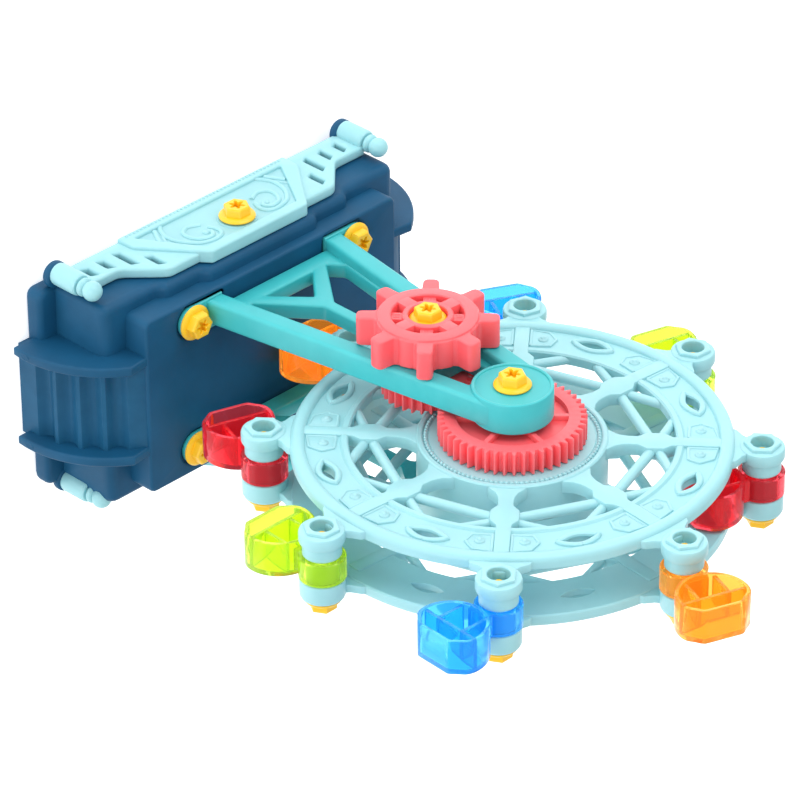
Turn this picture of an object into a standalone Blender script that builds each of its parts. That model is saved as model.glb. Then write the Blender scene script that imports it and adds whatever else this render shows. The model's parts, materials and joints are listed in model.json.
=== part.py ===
# Ferris wheel construction toy: a hand cranked wheel with eight swinging cabins on a boxed base.
# Metres, +Z up. The origin is the middle of the base's underside. The wheel turns about a level
# axis along Y, the base's long side lies along X, and the crank is on the -Y side.

import math

import bmesh
import bpy
from mathutils import Matrix

# Clearances between pieces that touch, turn or slide
SEAT_GAP = 0.0003
RUN_GAP = 0.0004

# Base: a stepped box with an arched bay at each end
BASE_HEIGHT = 0.0435
SKIRT_HEIGHT = 0.0080
SKIRT_HALF_LENGTH = 0.0800
SKIRT_CORNER = 0.0020
BLOCK_HALF_LENGTH = 0.0724
BLOCK_HALF_DEPTH = 0.0400
BLOCK_TOP_OUTER = 0.0330
BLOCK_TOP_MIDDLE = 0.0362
BLOCK_TOP_CENTRE = 0.0393
MIDDLE_STEP_HALF = 0.0445
CENTRE_STEP_HALF = 0.0262
STEP_SLOPE = 0.0030
PLINTH_HALF_LENGTH = 0.0622
PLINTH_HALF_DEPTH = 0.0347
BASE_EDGE_ROUND = 0.0016
BASE_CORNER = 0.0050
BASE_WALL = 0.0024
BASE_END_WALL = 0.0112
BASE_LID = 0.0030
COVER_THICKNESS = 0.0024

# End bays of the base: two arched flanges and five ribs between them
FLANGE_RADIUS = 0.0424
FLANGE_CENTRE_X = 0.0469
FLANGE_CENTRE_Z = 0.0084
FLANGE_THICKNESS = 0.0039
FLANGE_OUTER_Y = 0.0205
FLANGE_TOP_ANGLE = 57.0
FLANGE_BOTTOM_ANGLE = -6.6
BAY_RIB_COUNT = 5
BAY_RIB_PITCH = 14.2
BAY_RIB_INSET = 0.0051
BAY_FLUTE_DEPTH = 0.0030

# Screws: one moulded pattern in three lengths
SCREW_FLANGE_RADIUS = 0.0067
SCREW_FLANGE_TOP_RADIUS = 0.0056
SCREW_FLANGE_HEIGHT = 0.0014
SCREW_HEX_RADIUS = 0.0051
SCREW_HEAD_HEIGHT = 0.0047
SCREW_SHANK_RADIUS = 0.0019
FOOT_SCREW_LENGTH = 0.0080
AXLE_SCREW_LENGTH = 0.0120

# Legs: two mirrored struts that carry the axle
WHEEL_ABOVE_BASE = 0.1180
LEG_OUTER_Y = 0.0333
LEG_RAIL_DEPTH = 0.0084
LEG_WEB_RECESS = 0.0050
LEG_WEB_DEPTH = 0.0031
LEG_BOSS_RADIUS = 0.0144
LEG_BOSS_INNER_Y = 0.0213
LEG_BOSS_RIM = 0.0010
LEG_BOSS_RECESS = 0.0006
LEG_RAIL_WIDTH = 0.0078
LEG_FOOT_HALF = 0.0335
LEG_NECK_HALF = 0.0146
LEG_BAND_HEIGHT = 0.0078
LEG_BRACE_WIDTH = 0.0048
LEG_BRACE_NODE = 0.0487
LEG_ARM_FOOT = 0.0188
LEG_ARM_WIDTH = 0.0052
LEG_LEDGE = 0.0006
LEG_TAB_THICKNESS = 0.0020
LEG_TAB_SINK = 0.0012
FOOT_SCREW_OUT = 0.0065
FOOT_SCREW_Y = 0.0263
TAB_RADIUS = 0.0062

# Axle
AXLE_RADIUS = 0.0035
AXLE_SOCKET_DEPTH = 0.0075

# Gears: drive gear on the wheel and pinion on the crank shaft
GEAR_MODULE = 0.00104
GEAR_TEETH = 48
PINION_TEETH = 30
GEAR_BACKLASH = 0.0003
GEAR_ADDENDUM = 0.95
GEAR_DEDENDUM = 1.25
PRESSURE_ANGLE = 20.0
GEAR_THICKNESS = 0.0084
GEAR_RIM_WIDTH = 0.0042
GEAR_HUB_RADIUS = 0.0080
GEAR_WEB_RECESS = 0.0022
GEAR_RIB_COUNT = 6
GEAR_RIB_WIDTH = 0.0016
GEAR_TO_BOSS = 0.0004

# Crank, shaped like a ship's wheel
CRANK_RING_RADIUS = 0.0184
CRANK_RING_INNER = 0.0129
CRANK_HUB_RADIUS = 0.0090
CRANK_RECESS_RADIUS = 0.0069
CRANK_RECESS_DEPTH = 0.0028
CRANK_DEPTH = 0.0110
CRANK_RING_RAISE = 0.0008
CRANK_SPOKE_WIDTH = 0.0046
CRANK_SPOKE_SINK = 0.0012
CRANK_HANDLE_REACH = 0.0246
CRANK_HANDLE_WIDTH = 0.0056
CRANK_HANDLE_COUNT = 8
CRANK_REST_ANGLE = 44.6
CRANK_SHAFT_RADIUS = 0.0044
CRANK_SQUARE = 0.0060
CRANK_BEARING_RADIUS = 0.0090
PINION_SHORTER = 0.0009

# Wheel rims
EAR_COUNT = 8
EAR_REST_ANGLE = 310.57
EAR_TO_RIM = 0.0093
RIM_BORDER_WIDTH = 0.0053
RIM_BORDER_DEPTH = 0.0050
RIM_BORDER_ROUND = 0.0014
RIM_FRONT_Y = -0.0129
RIM_REAR_Y = 0.0155
BAND_WIDTH = 0.0150
BAND_SINK = 0.0016
BAND_LIP_WIDTH = 0.0024
BAND_LIP_RAISE = 0.0008
SPOKE_WIDTH = 0.0054
SPOKE_SINK = 0.0006
NODE_TO_BAND = 0.0072
NODE_HALF_WIDTH = 0.0049
NODE_HALF_LENGTH = 0.0058
TIE_WIDTH = 0.0034
TIE_SINK = 0.0014
TIE_DEPTH = 0.0032
STRUT_SPREAD = 17.5
EYE_INTO_BAND = 0.0101
EYE_HALF_LENGTH = 0.0062
EYE_HALF_WIDTH = 0.0024
HUB_RADIUS = 0.0333
HUB_BORDER_WIDTH = 0.0021
HUB_WALL = 0.0024
HUB_DISC_SINK = 0.0007
HUB_DISC_THICKNESS = 0.0022
HUB_SLEEVE_RADIUS = 0.0066
HUB_SPLIT_Y = 0.0015
EAR_BODY_RADIUS = 0.0080
EAR_FRONT_Y = -0.0132
EAR_PAD_HEIGHT = 0.0013
EAR_PAD_RADIUS = 0.0066
EAR_BODY_END_Y = -0.0068
EAR_SOCKET_RADIUS = 0.0040
EAR_SOCKET_DEPTH = 0.0046
EAR_SHOULDER_RADIUS = 0.0068
EAR_JOURNAL_RADIUS = 0.0056
EAR_REAR_Y = 0.0152
EAR_CHAMFER = 0.0012
EAR_STEP = 0.0013
EAR_BRACKET_HALF = 0.0110
EAR_BRACKET_NECK = 0.0052
EAR_BRACKET_DEPTH = 0.0040

# Cabins hung on the ears
COLLAR_FRONT_Y = -0.0017
COLLAR_LENGTH = 0.0088
COLLAR_RADIUS = 0.0083
CABIN_FRONT_Y = -0.0038
CABIN_DEPTH = 0.0136
CABIN_REACH = 0.0307
CABIN_TO_BASE = 0.0010
CABIN_CENTRE = 0.0216
CABIN_HALF_WIDTH = 0.0130
CABIN_FLOOR_HALF = 0.0072
CABIN_FLOOR_CORNER = 0.0011
CABIN_WALL = 0.0015
CABIN_BACK = 0.0016
CABIN_CHORD = 0.0080
CABIN_WINDOW_HALF = 0.0056
CABIN_NECK_WIDTH = 0.0090

# Panels on the base's long sides
PANEL_BOTTOM = 0.0068
PANEL_WING_HALF = 0.0690
PANEL_WING_LOW_TOP = 0.0212
PANEL_WING_HIGH_TOP = 0.0338
PANEL_WING_DEPTH = 0.0040
PANEL_WING_STEP_OUT = 0.0538
PANEL_WING_STEP_IN = 0.0409
PLAQUE_BOTTOM_HALF = 0.0412
PLAQUE_SHOULDER = 0.0148
PLAQUE_TOP_HALF = 0.0235
PLAQUE_TOP = 0.0375
PLAQUE_DEPTH = 0.0052
PLAQUE_FRAME = 0.0027
PLAQUE_SINK = 0.0010
SLOT_WIDTH = 0.0019
SLOT_SLANT = 0.0010
ROLL_X = 0.0709
ROLL_RADIUS = 0.0042
ROLL_BALL_RADIUS = 0.0036
ROLL_BOTTOM = 0.0062
ROLL_TOP = 0.0298
PANEL_SCREW_Z = 0.0255
PANEL_BOSS_RADIUS = 0.0075

# Facets of round pieces: what turns on a shaft or in a bore has the steps of its partner
RIM_STEPS = 32
HUB_STEPS = 24
EAR_STEPS = 10
HOLE_STEPS = 8

# Faces that meet at less than this angle are one flat face
FLAT_LIMIT = math.radians(0.2)

# Sizes that follow from the ones above
WHEEL_HEIGHT = BASE_HEIGHT + WHEEL_ABOVE_BASE
EAR_CIRCLE_RADIUS = WHEEL_ABOVE_BASE - CABIN_REACH - CABIN_TO_BASE
RIM_OUTER_RADIUS = EAR_CIRCLE_RADIUS - EAR_TO_RIM
BAND_INNER_RADIUS = RIM_OUTER_RADIUS - RIM_BORDER_WIDTH - BAND_WIDTH
NODE_RADIUS = BAND_INNER_RADIUS - NODE_TO_BAND
EYE_CENTRE_RADIUS = BAND_INNER_RADIUS + EYE_INTO_BAND
FOOT_SCREW_X = LEG_FOOT_HALF + FOOT_SCREW_OUT
COVER_HALF_LENGTH = PLINTH_HALF_LENGTH - BASE_WALL
COVER_HALF_DEPTH = PLINTH_HALF_DEPTH - BASE_WALL / 2
AXLE_DISTANCE = GEAR_MODULE * (GEAR_TEETH + PINION_TEETH) / 2
CRANK_HEIGHT = WHEEL_HEIGHT - AXLE_DISTANCE
GEAR_FRONT_Y = -(LEG_BOSS_INNER_Y - GEAR_TO_BOSS)
GEAR_REAR_Y = GEAR_FRONT_Y + GEAR_THICKNESS
HUB_DISC_Y = GEAR_REAR_Y + SEAT_GAP
HUB_FRONT_Y = HUB_DISC_Y - HUB_DISC_SINK
CRANK_REAR_Y = -(LEG_OUTER_Y + RUN_GAP)
CRANK_FRONT_Y = CRANK_REAR_Y - CRANK_DEPTH
COLLAR_REAR_Y = COLLAR_FRONT_Y + COLLAR_LENGTH
EAR_JOIN_Y = COLLAR_REAR_Y + SEAT_GAP
SCREW_HOLE_RADIUS = SCREW_SHANK_RADIUS + SEAT_GAP
LEG_FOOT_Z = BASE_HEIGHT + SEAT_GAP
GONDOLA_SCREW_LENGTH = EAR_REAR_Y + SEAT_GAP - (EAR_FRONT_Y + EAR_SOCKET_DEPTH)

COLOURS = {
    "navy": (0.018, 0.105, 0.205),
    "mint": (0.480, 0.880, 0.920),
    "teal": (0.030, 0.560, 0.600),
    "coral": (1.000, 0.120, 0.145),
    "yellow": (1.000, 0.640, 0.012),
    "red_clear": (0.640, 0.010, 0.030),
    "lime_clear": (0.720, 0.800, 0.020),
    "blue_clear": (0.010, 0.260, 0.850),
    "orange_clear": (1.000, 0.330, 0.010),
    "steel": (0.560, 0.570, 0.580),
}
CABIN_COLOURS = ("red_clear", "lime_clear", "blue_clear", "orange_clear")
CABIN_REST_ANGLES = (-109.0, -91.0, -2.5, 69.0, -19.0, -107.0, -118.0, -95.0)


def clear_scene():
    for old in list(bpy.data.objects):
        bpy.data.objects.remove(old, do_unlink=True)


def new_collection(name):
    collection = bpy.data.collections.new(name)
    bpy.context.scene.collection.children.link(collection)
    return collection


def make_material(name, colour, roughness=0.35, metallic=0.0, alpha=1.0):
    material = bpy.data.materials.new(name)
    material.use_nodes = True
    shader = material.node_tree.nodes["Principled BSDF"]
    shader.inputs["Base Color"].default_value = (*colour, 1.0)
    shader.inputs["Roughness"].default_value = roughness
    shader.inputs["Metallic"].default_value = metallic
    shader.inputs["Alpha"].default_value = alpha
    material.diffuse_color = (*colour, alpha)
    return material


# Outlines are lists of (u, v) points
def arc(centre_u, centre_v, radius, start, end, steps):
    points = []
    for step in range(steps + 1):
        angle = math.radians(start + (end - start) * step / steps)
        points.append((centre_u + radius * math.cos(angle), centre_v + radius * math.sin(angle)))
    return points


def circle(centre_u, centre_v, radius, steps):
    return arc(centre_u, centre_v, radius, 0, 360 * (steps - 1) / steps, steps - 1)


def box_outline(left, right, bottom, top):
    return [(left, bottom), (right, bottom), (right, top), (left, top)]


def rounded_box(half_u, half_v, corner, steps=3):
    u = half_u - corner
    v = half_v - corner
    points = arc(u, v, corner, 0, 90, steps) + arc(-u, v, corner, 90, 180, steps)
    return points + arc(-u, -v, corner, 180, 270, steps) + arc(u, -v, corner, 270, 360, steps)


def turn_points(points, degrees, centre=(0.0, 0.0)):
    cosine = math.cos(math.radians(degrees))
    sine = math.sin(math.radians(degrees))
    turned = []
    for u, v in points:
        u -= centre[0]
        v -= centre[1]
        turned.append((u * cosine - v * sine + centre[0], u * sine + v * cosine + centre[1]))
    return turned


def mirror_points(points):
    return [(-u, v) for u, v in reversed(points)]


def polar(radius, degrees):
    return (radius * math.cos(math.radians(degrees)), radius * math.sin(math.radians(degrees)))


def ear_angles():
    return [EAR_REST_ANGLE + 360 / EAR_COUNT * ear for ear in range(EAR_COUNT)]


# A holder's evaluated shape becomes a welded mesh, and the holder goes
def baked_mesh(holder):
    bpy.context.view_layer.update()
    evaluated = holder.evaluated_get(bpy.context.evaluated_depsgraph_get())
    mesh = bpy.data.meshes.new_from_object(evaluated)
    mesh.transform(holder.matrix_world)
    bpy.data.objects.remove(holder, do_unlink=True)
    work = bmesh.new()
    work.from_mesh(mesh)
    bmesh.ops.remove_doubles(work, verts=work.verts, dist=0.000002)
    bmesh.ops.dissolve_limit(work, angle_limit=FLAT_LIMIT, verts=work.verts, edges=work.edges)
    bmesh.ops.recalc_face_normals(work, faces=work.faces)
    work.to_mesh(mesh)
    work.free()
    mesh.materials.clear()
    return mesh


def solid_from(name, mesh):
    solid = bpy.data.objects.new(name, mesh)
    bpy.context.scene.collection.objects.link(solid)
    return solid


# A flat outline, with any holes, extruded along Y (drawn in XZ) or along Z (drawn in XY)
def flat_solid(name, loops, near, far, axis="Y"):
    curve = bpy.data.curves.new(name, "CURVE")
    curve.dimensions = "2D"
    curve.fill_mode = "BOTH"
    curve.extrude = abs(far - near) / 2
    for loop in loops:
        spline = curve.splines.new("POLY")
        spline.points.add(len(loop) - 1)
        spline.use_cyclic_u = True
        for point, (u, v) in zip(spline.points, loop):
            point.co = (u, v, 0.0, 1.0)
    holder = solid_from(name, curve)
    middle = (near + far) / 2
    if axis == "Y":
        holder.matrix_world = Matrix.Translation((0, middle, 0)) @ Matrix.Rotation(math.pi / 2, 4, "X")
    else:
        holder.matrix_world = Matrix.Translation((0, 0, middle))
    return solid_from(name, baked_mesh(holder))


# A profile of (radius, place along the axis) points, turned about Y or Z
def turned_solid(name, profile, steps, axis="Y", closed=False):
    mesh = bpy.data.meshes.new(name)
    edges = [(at, at + 1) for at in range(len(profile) - 1)]
    if closed:
        edges.append((len(profile) - 1, 0))
    mesh.from_pydata([(radius, 0.0, place) for radius, place in profile], edges, [])
    holder = solid_from(name, mesh)
    screw = holder.modifiers.new("Screw", "SCREW")
    screw.axis = "Z"
    screw.steps = steps
    screw.render_steps = steps
    screw.use_merge_vertices = True
    screw.merge_threshold = 0.00001
    if axis == "Y":
        holder.matrix_world = Matrix.Rotation(-math.pi / 2, 4, "X")
    return solid_from(name, baked_mesh(holder))


def ring_profile(inner, outer, near, far, soften=0.0):
    if soften == 0.0:
        return [(inner, near), (outer, near), (outer, far), (inner, far)]
    near_pair = [(inner, near), (outer - soften, near), (outer, near + soften)]
    return near_pair + [(outer, far - soften), (outer - soften, far), (inner, far)]


def shift(solid, x=0.0, y=0.0, z=0.0):
    solid.data.transform(Matrix.Translation((x, y, z)))
    return solid


# Live Boolean: the tool goes with its target and into the cutters' collection
def combine(target, tools, operation="UNION"):
    for tool in tools:
        modifier = target.modifiers.new(tool.name, "BOOLEAN")
        modifier.operation = operation
        modifier.solver = "EXACT"
        modifier.object = tool
        tool.name = target.name + "_tool_" + tool.name
        tool.parent = target
        tool.hide_render = True
        tool.display_type = "WIRE"
        for holder in list(tool.users_collection):
            holder.objects.unlink(tool)
        cutters.objects.link(tool)
    return target


def add(target, *tools):
    return combine(target, tools, "UNION")


def cut(target, *tools):
    return combine(target, tools, "DIFFERENCE")


def keep(target, *tools):
    return combine(target, tools, "INTERSECT")


# Booleans worked out now, for a mesh that several pieces share
def settle(target):
    tools = [modifier.object for modifier in target.modifiers]
    name = target.name
    mesh = baked_mesh(target)
    for tool in tools:
        bpy.data.objects.remove(tool, do_unlink=True)
    return solid_from(name, mesh)


def place_piece(solid, name, colour, parent, location=(0.0, 0.0, 0.0)):
    solid.name = name
    solid.parent = parent
    solid.location = location
    if solid.modifiers:
        flatten = solid.modifiers.new("flatten", "DECIMATE")
        flatten.decimate_type = "DISSOLVE"
        flatten.angle_limit = FLAT_LIMIT
    for holder in list(solid.users_collection):
        holder.objects.unlink(solid)
    parts.objects.link(solid)
    material = make_material(name + "_finish", COLOURS[colour], 0.12 if "clear" in colour else 0.35,
                             1.0 if colour == "steel" else 0.0, 0.6 if "clear" in colour else 1.0)
    if not solid.data.materials:
        solid.data.materials.append(material)
    solid.material_slots[0].link = "OBJECT"
    solid.material_slots[0].material = material
    solid.data.shade_smooth()
    solid.data.set_sharp_from_angle(angle=math.radians(32))
    return solid


def new_axis(name, location, parent=None):
    empty = bpy.data.objects.new(name, None)
    empty.empty_display_size = 0.01
    parts.objects.link(empty)
    empty.parent = parent
    empty.location = location
    return empty


# Screw head points along -Y, and the seat of its flange is at y = 0
def screw_solid(name, length):
    screw = turned_solid(name, [
        (0.0, -SCREW_FLANGE_HEIGHT), (SCREW_FLANGE_TOP_RADIUS, -SCREW_FLANGE_HEIGHT),
        (SCREW_FLANGE_RADIUS, 0.0), (SCREW_SHANK_RADIUS, 0.0), (SCREW_SHANK_RADIUS, length),
        (0.0, length)], EAR_STEPS)
    hexagon = flat_solid("hexagon", [circle(0, 0, SCREW_HEX_RADIUS, 6)],
                         -SCREW_HEAD_HEIGHT, -SCREW_FLANGE_HEIGHT / 2)
    add(screw, hexagon)
    return settle(screw)


def rotated_copy(solid, name, matrix):
    mesh = solid.data.copy()
    mesh.transform(matrix)
    return solid_from(name, mesh)


# Base shell
def bay_flange(side, centre_y):
    top = arc(FLANGE_CENTRE_X, FLANGE_CENTRE_Z, FLANGE_RADIUS, FLANGE_BOTTOM_ANGLE, FLANGE_TOP_ANGLE, 8)
    inner = bay_notch_start() - BASE_WALL
    top.append((PLINTH_HALF_LENGTH, BASE_HEIGHT - 2 * SEAT_GAP))
    top.append((inner, BASE_HEIGHT - 2 * SEAT_GAP))
    top.append((inner, top[0][1]))
    if side < 0:
        top = mirror_points(top)
    return flat_solid("flange", [top], centre_y - FLANGE_THICKNESS / 2, centre_y + FLANGE_THICKNESS / 2)


# The bay's wall between the flanges: rib crests on an arc, with hollows between them
def bay_wall(side):
    crest_radius = FLANGE_RADIUS - BAY_RIB_INSET
    outline = [(crest_radius + FLANGE_CENTRE_X, SEAT_GAP), (crest_radius + FLANGE_CENTRE_X, FLANGE_CENTRE_Z)]
    steps = 4
    for rib in range(BAY_RIB_COUNT - 1):
        for step in range(steps):
            share = (step + 0.5) / steps
            depth = BAY_FLUTE_DEPTH * math.sin(math.pi * share) ** 0.5
            u, v = polar(crest_radius - depth, BAY_RIB_PITCH * (rib + share))
            outline.append((FLANGE_CENTRE_X + u, FLANGE_CENTRE_Z + v))
    u, v = polar(crest_radius, BAY_RIB_PITCH * (BAY_RIB_COUNT - 1))
    outline.append((FLANGE_CENTRE_X + u, FLANGE_CENTRE_Z + v))
    crest_top = BASE_HEIGHT - SEAT_GAP
    reach = math.sqrt(crest_radius ** 2 - (crest_top - FLANGE_CENTRE_Z) ** 2)
    outline.append((FLANGE_CENTRE_X + reach, crest_top))
    inner = bay_notch_start() - SEAT_GAP
    outline += [(inner, crest_top), (inner, SEAT_GAP)]
    if side < 0:
        outline = mirror_points(outline)
    half = FLANGE_OUTER_Y - FLANGE_THICKNESS / 2 - SEAT_GAP
    return flat_solid("bay", [outline], -half, half)


def bay_notch_start():
    return PLINTH_HALF_LENGTH - BASE_END_WALL / 2


def build_base(root):
    steps = [(-BLOCK_HALF_LENGTH, SKIRT_HEIGHT / 2), (BLOCK_HALF_LENGTH, SKIRT_HEIGHT / 2),
             (BLOCK_HALF_LENGTH, BLOCK_TOP_OUTER), (MIDDLE_STEP_HALF + STEP_SLOPE, BLOCK_TOP_OUTER),
             (MIDDLE_STEP_HALF, BLOCK_TOP_MIDDLE), (CENTRE_STEP_HALF + STEP_SLOPE, BLOCK_TOP_MIDDLE),
             (CENTRE_STEP_HALF, BLOCK_TOP_CENTRE), (-CENTRE_STEP_HALF, BLOCK_TOP_CENTRE),
             (-CENTRE_STEP_HALF - STEP_SLOPE, BLOCK_TOP_MIDDLE), (-MIDDLE_STEP_HALF, BLOCK_TOP_MIDDLE),
             (-MIDDLE_STEP_HALF - STEP_SLOPE, BLOCK_TOP_OUTER), (-BLOCK_HALF_LENGTH, BLOCK_TOP_OUTER)]
    block = flat_solid("block", [steps], -BLOCK_HALF_DEPTH, BLOCK_HALF_DEPTH)
    plan = flat_solid("plan", [rounded_box(BLOCK_HALF_LENGTH, BLOCK_HALF_DEPTH, BASE_CORNER)],
                      0.0, BASE_HEIGHT, "Z")
    keep(block, plan)
    block = settle(block)
    soften = block.modifiers.new("soften", "BEVEL")
    soften.width = BASE_EDGE_ROUND
    soften.segments = 1
    soften.limit_method = "ANGLE"
    soften.angle_limit = math.radians(50)
    shell = solid_from("shell", baked_mesh(block))

    skirt = flat_solid("skirt", [rounded_box(SKIRT_HALF_LENGTH, BLOCK_HALF_DEPTH - SEAT_GAP, SKIRT_CORNER)],
                       0.0, SKIRT_HEIGHT, "Z")
    plinth = flat_solid("plinth", [rounded_box(PLINTH_HALF_LENGTH, PLINTH_HALF_DEPTH, BASE_CORNER / 2)],
                        SKIRT_HEIGHT, BASE_HEIGHT, "Z")
    add(shell, skirt, plinth)
    notch_half = FLANGE_OUTER_Y - FLANGE_THICKNESS / 2
    for side in (-1, 1):
        near_end, far_end = sorted((side * bay_notch_start(), side * 2 * BLOCK_HALF_LENGTH))
        notch = flat_solid("notch", [box_outline(near_end, far_end, SKIRT_HEIGHT / 2, 2 * BASE_HEIGHT)],
                           -notch_half, notch_half)
        cut(shell, notch)
        add(shell, bay_wall(side))
        for face in (-1, 1):
            add(shell, bay_flange(side, face * (FLANGE_OUTER_Y - FLANGE_THICKNESS / 2)))

    room = flat_solid("room", [rounded_box(PLINTH_HALF_LENGTH - BASE_END_WALL, PLINTH_HALF_DEPTH - BASE_WALL,
                                           BASE_CORNER / 2)], -SEAT_GAP, BASE_HEIGHT - BASE_LID, "Z")
    ledge = flat_solid("ledge", [rounded_box(COVER_HALF_LENGTH + SEAT_GAP, COVER_HALF_DEPTH + SEAT_GAP,
                                             BASE_CORNER / 2)],
                       -SEAT_GAP, COVER_THICKNESS + SEAT_GAP, "Z")
    tab_beds = flat_solid("tab_beds", [tab_outline(u, v, SEAT_GAP) for u, v in foot_screw_places()],
                          BASE_HEIGHT - LEG_TAB_SINK - SEAT_GAP, BASE_HEIGHT + LEG_TAB_SINK, "Z")
    foot_holes = flat_solid("foot_holes", [circle(u, v, SCREW_HOLE_RADIUS, HOLE_STEPS)
                                           for u, v in foot_screw_places()],
                            BASE_HEIGHT - 2 * BASE_LID, BASE_HEIGHT, "Z")
    panel_holes = flat_solid("panel_holes", [circle(0, PANEL_SCREW_Z, SCREW_HOLE_RADIUS, HOLE_STEPS)],
                             -BLOCK_HALF_DEPTH - BASE_WALL, BLOCK_HALF_DEPTH + BASE_WALL)
    cut(shell, room, ledge, tab_beds, foot_holes, panel_holes)
    place_piece(shell, "base_shell", "navy", root)


def foot_screw_places():
    return [(side * FOOT_SCREW_X, face * FOOT_SCREW_Y) for side in (-1, 1) for face in (-1, 1)]


# The foot tab: round outside, running in under the leg's band
def tab_outline(centre_x, centre_y, grow):
    radius = TAB_RADIUS + grow
    rounded = arc(abs(centre_x), centre_y, radius, -90, 90, 6)
    inner = LEG_FOOT_HALF - LEG_RAIL_WIDTH - grow
    rounded += [(inner, centre_y + radius), (inner, centre_y - radius)]
    return rounded if centre_x > 0 else mirror_points(rounded)


def build_cover(root):
    cover = flat_solid("cover", [rounded_box(COVER_HALF_LENGTH, COVER_HALF_DEPTH, BASE_CORNER / 2)],
                       0.0, COVER_THICKNESS, "Z")
    place_piece(cover, "base_cover", "navy", root)


# A side panel, drawn for the -Y face and turned about Z for the other
def build_panel(root, face):
    seat_y = -(BLOCK_HALF_DEPTH + SEAT_GAP)
    wing_y = seat_y - PANEL_WING_DEPTH
    plaque_y = seat_y - PLAQUE_DEPTH
    half = [(PANEL_WING_HALF, PANEL_BOTTOM), (PANEL_WING_HALF, PANEL_WING_LOW_TOP),
            (PANEL_WING_STEP_OUT, PANEL_WING_LOW_TOP), (PANEL_WING_STEP_IN, PANEL_WING_HIGH_TOP)]
    slots = []
    low_slots = (PANEL_BOTTOM + 0.0055, PANEL_WING_LOW_TOP - 0.0028)
    long_slots = (PANEL_BOTTOM + 0.0055, PANEL_WING_HIGH_TOP - 0.0105)
    high_slots = (PANEL_BOTTOM + 0.0150, PANEL_WING_HIGH_TOP - 0.0045)
    for centre, (low, high) in ((0.0620, low_slots), (0.0545, low_slots),
                                (0.0468, long_slots), (0.0400, high_slots)):
        left = centre - SLOT_WIDTH / 2
        right = centre + SLOT_WIDTH / 2
        slot = [(left, low + SLOT_SLANT), (right, low), (right, high - SLOT_SLANT), (left, high)]
        slots += [slot, mirror_points(slot)]
    panel = flat_solid("panel", [half + mirror_points(half)] + slots, wing_y, seat_y)
    half = [(PLAQUE_BOTTOM_HALF, PANEL_BOTTOM - SEAT_GAP), (PLAQUE_BOTTOM_HALF, PLAQUE_SHOULDER),
            (PLAQUE_TOP_HALF, PLAQUE_TOP)]
    plaque_outline = half + mirror_points(half)
    plaque = flat_solid("plaque", [plaque_outline], plaque_y, seat_y - SEAT_GAP)
    frame = PLAQUE_FRAME
    half = [(PLAQUE_BOTTOM_HALF - 2 * frame, PANEL_BOTTOM + 2 * frame),
            (PLAQUE_BOTTOM_HALF - 1.2 * frame, PLAQUE_SHOULDER),
            (PLAQUE_TOP_HALF - frame / 2, PLAQUE_TOP - frame)]
    field = flat_solid("field", [half + mirror_points(half)], plaque_y - PLAQUE_SINK, plaque_y + PLAQUE_SINK)
    boss = flat_solid("boss", [circle(0, PANEL_SCREW_Z, PANEL_BOSS_RADIUS, EAR_STEPS)],
                      plaque_y + PLAQUE_SINK / 2, seat_y - 2 * SEAT_GAP)
    add(panel, plaque)
    cut(panel, field)
    add(panel, boss)
    for side in (-1, 1):
        roll = turned_solid("roll", roll_profile(), HOLE_STEPS, "Z")
        shift(roll, side * ROLL_X, seat_y - ROLL_RADIUS - SEAT_GAP)
        add(panel, roll)
    hole = flat_solid("hole", [circle(0, PANEL_SCREW_Z, SCREW_HOLE_RADIUS, HOLE_STEPS)],
                      plaque_y - SEAT_GAP, seat_y + SEAT_GAP)
    cut(panel, hole)
    name = "panel_front" if face < 0 else "panel_rear"
    place_piece(panel, name, "mint", root)
    if face > 0:
        panel.rotation_euler = (0.0, 0.0, math.pi)


# The rolled end of a panel: a thick roll with a bead and a ball on its upper end
def roll_profile():
    ball = ROLL_BALL_RADIUS
    waist = 0.75 * ball
    neck = ROLL_TOP - 3.4 * ball
    return [(0.0, ROLL_BOTTOM), (0.8 * ROLL_RADIUS, ROLL_BOTTOM), (ROLL_RADIUS, ROLL_BOTTOM + ball / 3),
            (ROLL_RADIUS, neck - ball), (waist, neck), (ball, neck + 0.6 * ball), (waist, neck + 1.2 * ball),
            (ball, ROLL_TOP - 1.2 * ball), (waist, ROLL_TOP - ball / 4), (0.0, ROLL_TOP)]


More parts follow.
